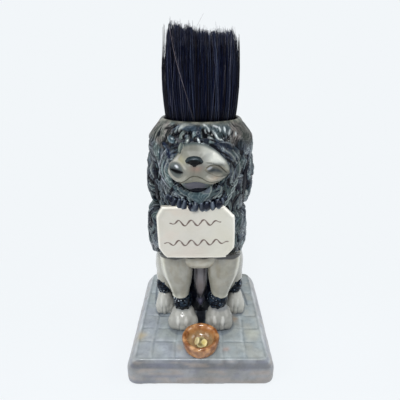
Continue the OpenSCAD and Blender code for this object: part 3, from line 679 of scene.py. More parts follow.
def locks(place, rows, tint, ridges=2.6, steps=16, wavy=1.0, blunt=False):
    """Modelled locks of fleece, each a tapered strand with combed ridges. A row holds
    angle, height, heading, bend, length, width, thickness and lift."""
    sides = 17
    a0, z0, way, bend, length, width, thick, lift = np.asarray(rows, float).T
    s = np.linspace(0, 1, steps)
    own = np.sin(a0 * 12.9898 + z0 * 78.233) * 43758.5453 % 1
    ra = np.linalg.norm(place(a0 + 0.5, z0) - place(a0 - 0.5, z0), axis=1)
    rz = np.linalg.norm(place(a0, z0 + 0.25) - place(a0, z0 - 0.25), axis=1) / 0.5
    ds = length[:, None] / (steps - 1)
    curl = np.sin(2 * math.pi * (0.95 * s[None] + 0.5 * own[:, None]))
    theta = way[:, None] + bend[:, None] * (s[None] ** 1.5 * (1 - wavy) + wavy * curl)

    def track(start, step, scale):
        gone = np.cumsum(step * ds, 1)[:, :-1]
        return start[:, None] + np.concatenate([np.zeros((len(a0), 1)), gone], 1) / scale[:, None]

    A = track(a0, np.cos(theta), ra)
    Z = track(z0, np.sin(theta), rz)
    rise = lift[:, None] * (smooth(s, 0, 0.5) - 0.35 * smooth(s, 0.6, 1))[None]
    P, N = on(place, A, Z, rise - 0.45 * thick[:, None] * (1 - smooth(s, 0, 0.4))[None])
    T = np.gradient(P, axis=1)
    T /= np.maximum(np.linalg.norm(T, axis=2), 1e-9)[..., None]
    N = N - T * (N * T).sum(2)[..., None]
    N /= np.maximum(np.linalg.norm(N, axis=2), 1e-9)[..., None]
    S = np.cross(N, T)
    phi = np.concatenate([
        np.linspace(0, np.pi, sides - 5), np.linspace(np.pi, 2 * np.pi, 7)[1:-1]
    ])
    full = (0.45 + 0.55 * smooth(s, 0, 0.3)) * (1 - 0.86 * smooth(s, 0.5, 1.0) ** 1.2)
    if blunt:
        end = np.maximum(s - 0.66, 0) / 0.34
        full = (0.55 + 0.45 * smooth(s, 0, 0.5)) * np.sqrt(np.maximum(0.03, 1 - end ** 2))
    cx = np.cos(phi)
    up = np.maximum(np.sin(phi), 0)
    down = np.minimum(np.sin(phi), 0)
    comb = np.cos(np.pi * ridges * cx[None, :] + 2.2 * s[:, None])
    high = up[None] ** 0.8 + 0.20 * comb * up[None] ** 0.6 + 0.4 * down[None]
    X = (width[:, None] / 2 * full[None])[..., None] * cx
    Y = (thick[:, None] * full[None] ** 0.8)[..., None] * high[None]
    V = P[:, :, None] + S[:, :, None] * X[..., None] + N[:, :, None] * Y[..., None]
    K = len(a0)
    ends = np.stack([V[:, 0].mean(1), V[:, -1].mean(1)], 1)
    V = np.concatenate([V.reshape(K, steps * sides, 3), ends], 1).reshape(-1, 3)
    m = steps * sides
    one = tube_faces(steps, sides)
    one += [(m, (j + 1) % sides, j) for j in range(sides)]
    one += [(m + 1, m - sides + j, m - sides + (j + 1) % sides) for j in range(sides)]
    F = [tuple(i + k * (m + 2) for i in f) for k in range(K) for f in one]

    def every(values, ends):
        """A value for each point of each lock, and for the points that close its ends."""
        body = np.broadcast_to(values, (K, steps, sides)).reshape(K, -1)
        return np.concatenate([body, np.broadcast_to(ends, (K, 2))], 1).ravel()

    light = every((0.5 + 0.5 * comb) * smooth(up, 0.1, 0.7)[None], 0.4)
    side = every(smooth(up, 0.05, 0.6), 0.7)
    along = every(s[None, :, None], [0.0, 1.0])
    tone = np.repeat(np.sin(a0 * 39.346 + z0 * 11.135) * 24634.6345 % 1, m + 2)
    return V, F, tint(V, light, side, along, tone)


fleece_glaze = glaze("fleece_glaze", mottle=(0.78, 1.2), spot=0.5, rough=(0.08, 0.22), bump=0.35,
                     shine=0.35, coat=0.0, index=1.3)
cuff_glaze = glaze("cuff_glaze", mottle=(0.5, 1.8), spot=0.4, rough=(0.05, 0.14), bump=0.3,
                   shine=0.4, coat=0.0, index=1.22)
skin_glaze = glaze("skin_glaze", mottle=(0.86, 1.10), spot=1.0, rough=(0.12, 0.28), bump=0.14,
                   tint=(0.88, 0.86, 0.80))
face_glaze = glaze("face_glaze", mottle=(0.95, 1.05), spot=0.8, rough=(0.10, 0.22), bump=0.10,
                   shine=0.35, coat=0.05)
paw_glaze = glaze("paw_glaze", mottle=(0.90, 1.07), spot=0.7, rough=(0.10, 0.24), bump=0.14,
                  shine=0.35, coat=0.05)
stone_glaze = glaze("stone_glaze", mottle=(0.86, 1.10), spot=1.0, rough=(0.2, 0.4), bump=0.3,
                    tint=(0.86, 0.84, 0.80), shine=0.4, coat=0.1)
nose_glaze = glaze("nose_glaze", mottle=(0.9, 1.1), spot=0.5, rough=(0.10, 0.2), bump=0.08,
                   shine=0.3, coat=0.0, index=1.3)
lid_glaze = glaze("eyelid_glaze", mottle=(0.95, 1.05), spot=0.8, rough=(0.10, 0.2), bump=0.06,
                  shine=0.25, coat=0.0, index=1.22)
placard_glaze = glaze("placard_glaze", mottle=(0.97, 1.02), spot=1.4, rough=(0.16, 0.3), bump=0.08,
                      tint=(0.97, 0.955, 0.92))
bowl_glaze = glaze("bowl_glaze", mottle=(0.74, 1.2), spot=0.7, rough=(0.08, 0.2), bump=0.15,
                   tint=(0.80, 0.62, 0.48))
coin_glaze = glaze("coin_glaze", mottle=(0.85, 1.15), spot=0.3, rough=(0.10, 0.2), bump=0.1)


# Plinth: a paved slab with a bevelled edge, hollow underneath

def corners(half_x, half_y, r, z, n=132):
    """Rounded rectangle of n points a side at height z, from the middle of the right side."""
    out = []
    for q in range(4):
        sx, sy = [(1, 1), (-1, 1), (-1, -1), (1, -1)][q]
        arc = np.linspace(0, 90, 25) + 90 * q
        cx, cy = sx * (half_x - r), sy * (half_y - r)
        out += [[cx + r * math.cos(b), cy + r * math.sin(b)] for b in np.radians(arc)]
    out = np.array(out + out[:1])
    d = np.concatenate([[0], np.cumsum(np.linalg.norm(np.diff(out, axis=0), axis=1))])
    want = np.linspace(0, d[-1], 4 * n, endpoint=False)
    x = np.interp(want, d, out[:, 0])
    y = np.interp(want, d, out[:, 1])
    return np.stack([x, y, np.full(len(x), float(z))], 1)


def groove(v, lines, wobble, width):
    """1 on a joint of the paving, falling to 0 at width from it."""
    d = np.min(np.abs((v + wobble)[:, None] - np.array(lines)[None]), axis=1)
    return bell(d / width)


def build_plinth():
    rings = [
        corners(2.3, 2.3, 2.29, 9.6), corners(2.5, 2.5, 2.49, 9.0), corners(28.2, 29.2, 2, 9.0),
        corners(28.6, 29.6, 2, 7.0), corners(28.8, 29.8, 2, 0.4), corners(29.2, 30.2, 2.4, 0.0),
        corners(32.4, 33.4, 4.2, 0.0),
    ]
    rings[0][:, 1] += BODY_Y
    rings[1][:, 1] += BODY_Y
    # From the foot up the side, over the bevel and across the paving
    profile = [
        (0.5, 0.4, 0.15), (0.12, 0.1, 0.7), (0, 0, 1.6), (0, 0, 3.4), (0.05, 0.02, 5.0),
        (0.15, 0.06, 6.4), (0.35, 0.15, 7.5), (0.7, 0.3, 8.4), (1.15, 0.5, 9.3), (1.7, 0.72, 10.2),
        (2.3, 0.95, 11.0), (2.9, 1.18, 11.7), (3.4, 1.4, 12.25), (3.8, 1.6, 12.7),
        (4.15, 1.85, 12.95), (4.6, 2.25, 12.95), (5.1, 2.7, PAVING),
    ]
    for side_in, end_in, z in profile:
        r = max(1.2, 4.6 - 0.5 * side_in)
        rings.append(corners(PLINTH_X - side_in, PLINTH_Y - end_in, r, z))
    for k in np.linspace(1, 0.02, 84)[1:]:
        rings.append(corners(27.9 * k, 31.3 * k, max(0.02, 2.1 * k), PAVING))
    V, F = loft(rings)
    x, y, z = V.T
    top = smooth(z, 12.1, 12.6)
    upper = (z > 0.05) & (np.maximum(np.abs(x) - 28.9, np.abs(y) - 29.9) > -0.5) | (z > 12.1)
    drift = grain(V, 14, 1)
    wob_x = 0.5 * grain(V * [0, 1, 1], 9, 2) + 0.25 * grain(V, 5, 3)
    wob_y = 0.5 * grain(V * [1, 0, 1], 9, 4) + 0.25 * grain(V, 5, 5)
    lines_x = [-21.4, -11.1, 0, 10.2, 20.4]
    lines_y = [-21.9, -13.4, -4.6, 4.6, 13.9, 23]
    faint = 0.35 + 0.65 * smooth(grain(V, 9, 9), -0.35, 0.2)
    gx = groove(x, lines_x, wob_x, 0.50) * faint
    gy = groove(y, lines_y, wob_y, 0.42) * faint
    soft = np.maximum(groove(x, lines_x, wob_x, 1.9) * faint, groove(y, lines_y, wob_y, 1.8) * faint)
    cut = np.maximum(gx * 0.8, gy)
    inward = 28.6 - np.maximum(np.abs(x), np.abs(y) - 3.2)
    field = smooth(inward, 0, 1.0)
    # Thumbed rings in a few of the flags
    swirl = np.zeros(len(V))
    for cx, cy in [(-25.0, -15.9), (25.4, -26.4), (-16.6, -26.3), (24.6, -9.0), (-24.2, 17.2),
                   (14.6, 17.6)]:
        d = np.hypot(x - cx, (y - cy) * 1.05)
        swirl += np.cos(d * 2.6) * bell(d / 2.4)
    lift = (-0.42 * cut - 0.22 * soft + 0.10 * swirl + 0.16 * drift + 0.1) * top * field
    N = normals(V, F)
    rough = 0.22 * drift + 0.12 * grain(V, 3.5, 6)
    V = V + N * (rough * upper * (1 - top * field) * 0.9)[:, None]
    V[:, 2] += lift
    V[:, 2] = np.maximum(V[:, 2], 0)
    edge = np.clip(cut * top * field, 0, 1)
    # Painted light: the paving lighter towards the left, and the slab a little darker towards the right
    light = 1 + 0.14 * smooth(-x, -4, 12) * (z > 11) - 0.04 * smooth(x, 4, 12)
    C = all_over(V, STONE) * light[:, None]
    cool = smooth(grain(V, 16, 7), -0.3, 0.5)
    C = mix(C, rgb(146, 150, 164), 0.5 * cool * smooth(-x, -8, 6))
    C = mix(C, rgb(160, 160, 152), 0.5 * smooth(x, 8, 24) * smooth(grain(V, 7, 11), -0.3, 0.3))
    C = mix(C, rgb(170, 178, 180), 0.4 * smooth(grain(V, 4.5, 10), -0.1, 0.5) * top)
    # Painted shade: the upright walls darker than the bevel above them, and the front bevel darker than
    # the side bevels
    C = mix(C, rgb(126, 127, 130), 0.85 * smooth(-z, -11.2, -8.2))
    ahead = smooth(-y, 31.7, 32.4)
    C = mix(C, rgb(96, 98, 104), 0.9 * smooth(z, 8.2, 9.0) * smooth(-z, -12.9, -12.6) * ahead)
    C = mix(C, rgb(150, 154, 158), 0.8 * smooth(z, 8.2, 9.6) * smooth(-z, -12.9, -12.2) * (1 - ahead))
    # Streaks of brown, pink and lilac run along the front
    streak = grain(V * [0.22, 0.5, 1.5], 3.0, 13)
    C = mix(C, rgb(150, 138, 128), 0.45 * smooth(streak, 0.05, 0.4) * (1 - top))
    C = mix(C, rgb(104, 106, 122), 0.45 * smooth(-streak, 0.1, 0.4) * (1 - top))
    C = mix(C, rgb(98, 110, 116), 0.45 * edge)
    pale = groove(x + 0.8, lines_x, wob_x, 0.6) * faint * top * field
    C = mix(C, rgb(186, 194, 198), 0.4 * pale)
    C = mix(C, rgb(112, 120, 126), 0.5 * bell((inward - 0.2) / 0.5) * (z > 11))
    # Painted highlight along the slab's top edge, broken in patches and weaker towards the front
    rim = bell((inward + 0.7) / 0.7) * (z > 11)
    highlight_breaks = 0.25 + 0.5 * smooth(grain(V, 5, 12), -0.1, 0.35)
    C = mix(C, rgb(188, 193, 197), highlight_breaks * rim * (1 - 0.75 * smooth(-y, 24, 31)))
    # Painted shade between the forepaws under the body and in the creases beside the hind paws, and a
    # painted contact shadow round each paw
    middle = smooth(3.4 - np.abs(x - 0.1), 0, 1.6) * smooth(y, -17.5, -15.5)
    C = mix(C, rgb(8, 12, 24), 0.95 * middle * smooth(-y, -1, 1) * top)
    for crease in ([(-25.6, 22.0), (-25.0, 14.0), (-24.2, 5.0)],
                   [(23.2, 18.0), (24.4, 11.0), (25.0, 3.5)]):
        C = mix(C, rgb(74, 84, 98), 0.7 * stroke(x, y, crease, 1.1, 0.4) * top)
    for cx, cy, rx, ry in [(-8.6, -11.0, 7.4, 6.8), (8.9, -11.0, 7.4, 6.8),
                           (-18.4, 1.0, 5.2, 6.2), (17.8, 1.0, 5.2, 6.2)]:
        near = np.hypot((x - cx) / rx, (y - cy) / ry)
        C = mix(C, rgb(96, 106, 120), 0.55 * smooth(-near, -1.12, -0.95) * top)
    blotch = 0.8 * grain(V, 2, 8)
    for (cx, cy), r, hue, k in [
        ((-28.2, -18.5), 2.4, (172, 158, 128), 0.7), ((11.5, -26.4), 1.5, (180, 140, 120), 0.4),
        ((14.4, -5.6), 2.4, (176, 140, 100), 0.5), ((17.0, -7.6), 1.6, (172, 132, 92), 0.4),
        ((25.0, -17.0), 3.0, (196, 202, 192), 0.5), ((-9.5, -26.0), 1.8, (182, 170, 150), 0.4),
        ((20.0, 12.0), 3.0, (178, 168, 150), 0.35), ((-21.0, 22.0), 2.5, (182, 156, 126), 0.4),
    ]:
        d = np.hypot(x - cx, y - cy) + blotch
        C = mix(C, rgb(*hue), k * bell(d / r) * (z > 5))
    under = (z < 9.7) & (np.abs(x) < 29.3) & (np.abs(y) < 30.3)
    C = np.where(under[:, None], rgb(176, 160, 142), C)
    C = mix(C, rgb(120, 112, 104), 0.6 * smooth(-z, -0.6, 0.1) * ~under)
    piece("plinth_paving", V, F, C, stone_glaze, "figure", "plinth")


build_plinth()


# Body

MANE_SHADOW_DARK = rgb(14, 16, 22)


def skin(node, V, F, C):
    piece(node + "_skin", V, F, C, skin_glaze, "figure", node)


def under_mane(V, C):
    """Painted shadow on what stands against the mane's lower edge."""
    return mix(C, MANE_SHADOW_DARK, 0.9 * smooth(V[:, 2] + 0.2 * np.sin(V[:, 0]), 51.8, 52.4))


def build_torso():
    cols = 180
    a = np.arange(cols) * 360 / cols - 180
    tops = np.full(cols, PAVING + TORSO_H)
    for _ in range(8):
        tops = seam_z(torso_at(a, tops)[:, 1])
    rings = [torso_at(a, PAVING * (1 - t) + (tops + 1.0) * t) for t in np.linspace(0, 1, 60)]
    V, F = loft(rings)
    x, y, z = V.T
    front = smooth(-(y - BODY_Y), 4, 8)
    wide = 1.3 + 1.5 * smooth(z, 24, 32)
    column = np.exp(-((x + 0.1) / wide) ** 4) * front * smooth(z, 13, 18)
    bulb = np.exp(-((x + 0.1) / 2.3) ** 2 - ((z - 22.0) / 2.6) ** 2) * front
    V = pushed(V, F, 1.7 * column + 1.4 * bulb)
    C = all_over(V, SKIN)
    # Painted shade: the torso's front, seen between the legs, dark navy
    C = mix(C, rgb(5, 8, 20), smooth(-(y - BODY_Y), 1.5, 5) * smooth(-z, -48.5, -46.5))
    C = mix(C, rgb(128, 124, 128), smooth(column, 0.35, 0.8) * smooth(z, 24.5, 29))
    C = mix(C, rgb(84, 84, 104), smooth(bulb, 0.3, 0.8))
    skin("torso", V, F, C)


def build_haunch(side, shift, node):
    def c(x, y, z):
        return side * x + shift, y, z

    shapes = [
        ball(c(14.2, 9.0, 38.0), (8.4, 13.5, 13.0), (18, 0, 0)),
        ball(c(14.4, 12.5, 30.0), (8.0, 11.0, 14.0), (10, 0, 0)),
        ball(c(15.6, 3.4, 32.5), (6.2, 7.2, 8.6), (-24, 0, -8 * side)),
        ball(c(17.2, 3.6, 29.6), (4.4, 5.0, 4.6), (0, 0, 0)),
        ball(c(14.5, 13.5, 19.0), (7.4, 8.6, 6.6), (0, 0, 0)),
    ]
    V, F = melt(shapes, 0.55, 10)
    V[:, 2] = np.maximum(V[:, 2], PAVING - 0.4)
    V = pushed(V, F, 0.10 * grain(V, 4, 11 + side))
    C = mix(all_over(V, SKIN), rgb(170, 170, 163), smooth(side * V[:, 0], 17, 23))
    # Painted shade on the haunch's inner front, behind the foreleg
    inner = smooth(-side * V[:, 0], -15.5, -12.5)
    C = mix(C, rgb(24, 30, 44), 0.85 * smooth(-V[:, 1], 4.5, 6.5) * inner)
    skin(node, V, F, C)


def build_foreleg(side, node):
    cols = 72
    a = np.radians(np.arange(cols) * 360 / cols - 180)
    cuff = PAVING + 10.6 + 8.0
    rings = []
    for t in np.linspace(-0.06, 1, 70):
        u = max(t, 0)
        w = 8.0 + (14.6 - 8.0) * u ** 0.7 + 1.4 * hump((u - 0.55) / 0.45)
        d = 7.8 + 2.6 * u
        x = side * (9.1 + 2.0 * u) + (-0.5 if side < 0 else 0.0)
        y = -9.4 + d / 2 * np.sin(a)
        z = cuff * (1 - t) + seam_z(y) * t if t > 0 else cuff + 20 * t
        calf = np.where(side * np.cos(a) > 0, 1 + 0.05 * hump((u - 0.5) / 0.5), 1)
        rings.append(np.stack([x + w / 2 * np.cos(a) * calf, y, np.broadcast_to(z, a.shape)], 1))
    V, F = loft(rings)
    V = pushed(V, F, 0.12 * grain(V, 4.5, 15 + side))
    C = all_over(V, SKIN)
    streak = smooth(grain(V * [1, 1, 0.35], 2.2, 31 + side), -0.1, 0.45)
    C = mix(C, rgb(124, 118, 102), 0.55 * streak * smooth(V[:, 2], 34, 42))
    low = smooth(-V[:, 2], -33.5, -30.6)
    C = mix(C, rgb(172, 172, 160), 0.5 * low)
    # Painted shade on the lower inner side of the leg, towards its back
    inner = smooth(-side * (V[:, 0] - side * 10.0), 2.6, 5.0) * smooth(-V[:, 2], -46, -38)
    C = mix(C, rgb(20, 26, 42), 0.85 * inner * smooth(V[:, 1], -11.5, -8.5))
    # Painted highlight: a light band high on the leg's outer side, and a lighter line down its outer edge
    above = smooth(V[:, 2], 36, 44)
    C = mix(C, rgb(186, 186, 172), 0.55 * smooth(side * V[:, 0], 15.6, 17.2) * above)
    outer = side * V[:, 0] - np.interp(V[:, 2], [30, 36, 42, 50], [13.0, 14.6, 16.4, 17.8])
    edge = bell((outer + 0.4) / 0.7) * smooth(-V[:, 1], 8, 10)
    skin(node, V, F, under_mane(V, mix(C, rgb(208, 208, 196), 0.7 * edge)))


def build_brisket():
    shapes = [
        limb([(-6.4, -8.8, 51.0), (-3.0, -9.3, 50.0), (1.8, -9.3, 50.0), (5.2, -8.8, 51.0)],
             [4.7, 5.0, 5.0, 4.7]),
        ball((-0.6, -7.0, 53.0), (9, 6, 5.5)),
    ]
    V, F = melt(shapes, 0.5, 12)
    # Painted shade on the brisket's underside
    C = mix(all_over(V, SKIN), rgb(60, 62, 66), 0.6 * smooth(-V[:, 2], -45.5, -44.5))
    C = mix(C, rgb(174, 171, 159), 0.85 * smooth(V[:, 2], 45.3, 47.5))
    C = mix(C, rgb(148, 140, 124), 0.5 * smooth(grain(V * [0.4, 1, 1], 3, 21), 0.0, 0.4))
    skin("brisket", V, F, under_mane(V, C))


def build_paw(node, centre, size, toes, top, seed):
    """Paw with a round heel, toes side by side in front and a neck up into its cuff."""
    x, y = centre
    w, front, back, h = size
    shapes = [
        ball((x, y - 0.22 * front, PAVING + 0.44 * h), (0.50 * w, 0.52 * (front + back), 0.50 * h)),
        ball((x, y - 0.30 * front, PAVING + 0.26 * h), (0.50 * w, 0.64 * front + 1.2, 0.34 * h)),
        ball((x, y - 0.10 * front, PAVING + 0.68 * h), (0.42 * w, 0.62 * front + 0.8, 0.34 * h)),
        limb([(x, y, PAVING + 0.6 * h), (x, y, top + 1.2)], [0.34 * w, 0.28 * w]),
    ]
    for k in range(toes):
        s = (k - (toes - 1) / 2) / max(1, toes - 1) * 2
        bend = 1 - 0.20 * s * s
        shapes.append(ball(
            (x + 0.31 * w * s, y - 0.62 * front * bend, PAVING + 0.34 * h),
            (0.76 * w / toes, 0.44 * front, 0.38 * h), (-14, 0, 10 * s)
        ))
    V, F = melt(shapes, 0.33, 9)
    V[:, 2] = np.maximum(V[:, 2], PAVING - 0.3)
    N = normals(V, F)
    V = V + N * (0.08 * grain(V, 2.2, seed))[:, None]
    # Painted highlights: two pale strokes down the front of each paw. The glaze pools grey in the toe
    # lines
    split = np.zeros(len(V))
    for k in range(toes - 1):
        s = (k + 1 - toes / 2) / (toes / 2) * 0.36 * w
        line = bell((V[:, 0] - x - s) / 0.34)
        line = line * smooth(-(V[:, 1] - y), 0.40 * front, 0.72 * front)
        split = np.maximum(split, line * smooth(-V[:, 2], -PAVING - 0.66 * h, -PAVING - 0.4 * h))
    V = V - N * (0.14 * split)[:, None]
    # Painted light: each paw in its own brightness, the right forepaw darkest and the hind paws lightest
    light = 0.68 if toes > 3 else 0.84 if abs(x) < HIND else 1.06
    C = all_over(V, PAW * light)
    C = mix(C, rgb(96, 98, 98), 0.6 * split)
    for dx in (-0.17 * w, 0.12 * w):
        path = [(x + dx, PAVING + 0.42 * h), (x + dx, PAVING + 0.72 * h)]
        shine = stroke(V[:, 0], V[:, 2], path, 0.12 * w, 0.4)
        C = mix(C, rgb(204, 204, 200), 0.55 * shine * (V[:, 1] < y))
    # Painted shade low down where the paw meets the paving, and at its top under the bracelet
    C = mix(C, rgb(120, 124, 128), 0.6 * smooth(-V[:, 2], -PAVING - 1.6, -PAVING + 0.2))
    C = mix(C, rgb(80, 88, 98), 0.5 * smooth(V[:, 2], top - 1.2, top + 0.2))
    piece(node + "_toes", V, F, C, paw_glaze, "figure", node)


def build_cuff(node, centre, low, high, w, seed):
    """Curly bracelet: a ring of small knotted curls."""
    rng = np.random.default_rng(seed)
    x, y = centre
    mid, half = (low + high) / 2, (high - low) / 2
    shapes = [ball((x, y, mid), (w / 2 + 0.15, w / 2 + 0.15, half + 1.3))]
    rows = 5
    for i in range(rows):
        up = (i + 0.5) / rows * 2 - 1
        n = 11 if abs(up) < 0.7 else 8
        r = (w / 2 - 0.7) * math.sqrt(max(0.2, 1 - 0.42 * up * up))
        for k in range(n):
            b = 2 * math.pi * (k + 0.5 * (i % 2) + rng.normal(0, 0.08)) / n
            s = rng.uniform(0.85, 1.2)
            shapes.append(ball(
                (x + r * math.cos(b), y + r * math.sin(b), mid + up * half * 0.92),
                (0.9 * s, 0.9 * s, 0.8 * s), rows=8
            ))
    V, F = melt(shapes, 0.3, 8)
    V = pushed(V, F, 0.16 * grain(V * [1, 1, 1.6], 1.5, seed))
    g = smooth(grain(V * [1, 1, 1.8], 1.6, seed + 1), -0.3, 0.5)
    C = mix(rgb(2, 5, 14), rgb(34, 48, 64), g)
    C = mix(C, rgb(86, 102, 118), 0.6 * smooth(grain(V * [1, 1, 2], 1.4, seed + 2), 0.36, 0.54))
    C = C * (0.5 if abs(x) > HIND else 0.36 if x < 0 else 0.55)
    # Painted glints: small white specks over the curls
    C = mix(C, rgb(190, 200, 208), 0.7 * smooth(grain(V, 0.9, seed + 3), 0.60, 0.72))
    piece(node + "_curls", V, F, C, cuff_glaze, "figure", node)


build_torso()
build_haunch(-1, -0.9, "haunch_left")
build_haunch(1, -0.4, "haunch_right")
build_foreleg(-1, "foreleg_left")
build_foreleg(1, "foreleg_right")
build_brisket()
build_paw("forepaw_left", (-8.6, -9.4), (13.2, 6.6, 4.4, 10.8), 3, 23.4, 31)
build_paw("forepaw_right", (8.9, -9.4), (13.4, 6.6, 4.4, 11.0), 4, 23.4, 32)
build_paw("hind_paw_left", (-18.5, 1.0), (8.4, 5.0, 4.0, 12.8), 3, 26.0, 33)
build_paw("hind_paw_right", (17.8, 1.0), (8.8, 5.0, 4.0, 12.8), 3, 26.0, 34)
build_cuff("fore_bracelet_left", (-8.7, -9.4), 23.0, 30.7, 9.2, 41)
build_cuff("fore_bracelet_right", (8.1, -9.4), 23.8, 31.2, 9.6, 42)
build_cuff("hind_bracelet_left", (-18.0, 0.4), 25.2, 32.8, 8.6, 43)
build_cuff("hind_bracelet_right", (16.8, 0.4), 25.2, 32.8, 8.4, 44)


# Mane, head, ears and beard

def around_face(P, a, h):
    """Heading of the coat on the head: it parts over the face and sweeps round it."""
    x, z = P[..., 0] + 1.2, P[..., 2] - 95.5
    r = np.maximum(np.hypot(x, z), 1)
    side = np.where(x < 0, 1.0, -1.0)
    near = smooth(-r, -19, -11) * smooth(-P[..., 1], 2, 9)
    blend = 1.0 - smooth(z, 9, 13)
    near = near * (0.35 + 0.65 * blend)
    tx, tz = -z / r * side, x / r * side
    down = heading(a, h - NECK)
    turn = np.arctan2(near * tz + (1 - near) * np.sin(down), near * tx + (1 - near) * np.cos(down))
    wavy = 0.5 - 0.15 * smooth(P[..., 2], 102, 106)
    return turn + wavy * swell(P.reshape(-1, 3), 4.4, 17).reshape(x.shape)


# Millimetres between the points of the coat
FINE = 0.20


def turns(low=-180.0, high=180.0, radius=22.0):
    """Angles from low to high, FINE apart at a radius."""
    n = int(round(math.radians(high - low) * radius / FINE))
    return low + (high - low) * (np.arange(n) if high - low >= 360 else np.arange(n + 1)) / n


def coat(node, V, F, C):
    piece(node + "_curls", V, F, C, fleece_glaze, "figure", node)


def build_mane():
    a, z = turns(), np.arange(0.2, MANE_H - 0.1, FINE)

    def furrows(P, A, H):
        ends = smooth(9 * H / MANE_H) * smooth(9 * (1 - H / MANE_H))
        return furrow(A, H) * ends * smooth((np.sin(np.radians(A)) + 0.8) * 4)

    def gloom(P):
        return 0.3 * smooth(P[..., 0], 12, 16) * smooth(-P[..., 1], 0, 8) - 0.1

    def sink(P):
        return none(P) + 0.1

    off, C = fleece_skin(mane_at, a, z, flow(18, 0.4), 81, furrows, gloom=gloom, sink=sink)
    V, F = loft(on(mane_at, *np.meshgrid(a, z), off)[0])
    coat("mane", V, F, np.vstack([C, NAVY, NAVY]))


# The edge of the bare face, seen from the front
OUTLINE = [
    (-7.3, 103.4), (-4.5, 104.3), (-1.9, 104.5), (1.6, 103.9), (4.4, 102.4), (7.0, 100.5),
    (9.8, 97.6), (11.5, 94.8), (11.7, 92.6), (10.4, 90.6), (7.8, 88.9), (4.8, 87.4), (2.4, 85.7),
    (-2.1, 84.9), (-6.2, 85.9), (-9.0, 88.6), (-12.2, 90.0), (-13.6, 92.2), (-12.6, 95.6),
    (-10.2, 98.8), (-8.4, 101.4),
]


def closed_curve(points, n=12):
    """Rounded closed curve through points, n steps from one to the next."""
    P = np.array(points, float)
    out = []
    for i in range(len(P)):
        a, b, c, d = P[i - 1], P[i], P[(i + 1) % len(P)], P[(i + 2) % len(P)]
        for t in np.arange(n) / n:
            out.append(0.5 * (2 * b + (c - a) * t + (2 * a - 5 * b + 4 * c - d) * t ** 2
                              + (3 * b - a - 3 * c + d) * t ** 3))
    return np.array(out)


def inside(curve, x, z):
    """Distance inwards from a closed curve, negative outside it."""
    P = np.stack([np.ravel(x), np.ravel(z)], 1)
    best = np.full(len(P), 1e9)
    odd = np.zeros(len(P), bool)
    for a, b in zip(curve, np.roll(curve, -1, 0)):
        e = b - a
        t = np.clip(((P - a) @ e) / max(e @ e, 1e-12), 0, 1)
        best = np.minimum(best, np.hypot(*(P - a - t[:, None] * e).T))
        cross = (a[1] > P[:, 1]) != (b[1] > P[:, 1])
        if a[1] != b[1]:
            xs = a[0] + (P[:, 1] - a[1]) / (b[1] - a[1]) * e[0]
            odd ^= cross & (P[:, 0] < xs)
    return np.where(odd, best, -best).reshape(np.shape(x))


FACE = closed_curve(OUTLINE)


def crown_calm(P):
    """Where the head's coat is a plain taupe crown, from 0 to 1."""
    x, y, z = np.moveaxis(P, -1, 0)
    front = smooth(-y, 3, 10) * smooth(-np.abs(x + 0.6), -13.5, -9.5)
    return smooth(z + 1.2 * np.sin(x * 0.7), 101.5, 105.5) * (1 - front)


BLACK = (3, 5, 10)
DEEP = (9, 14, 30)
GLINT_WHITE = (188, 196, 198)
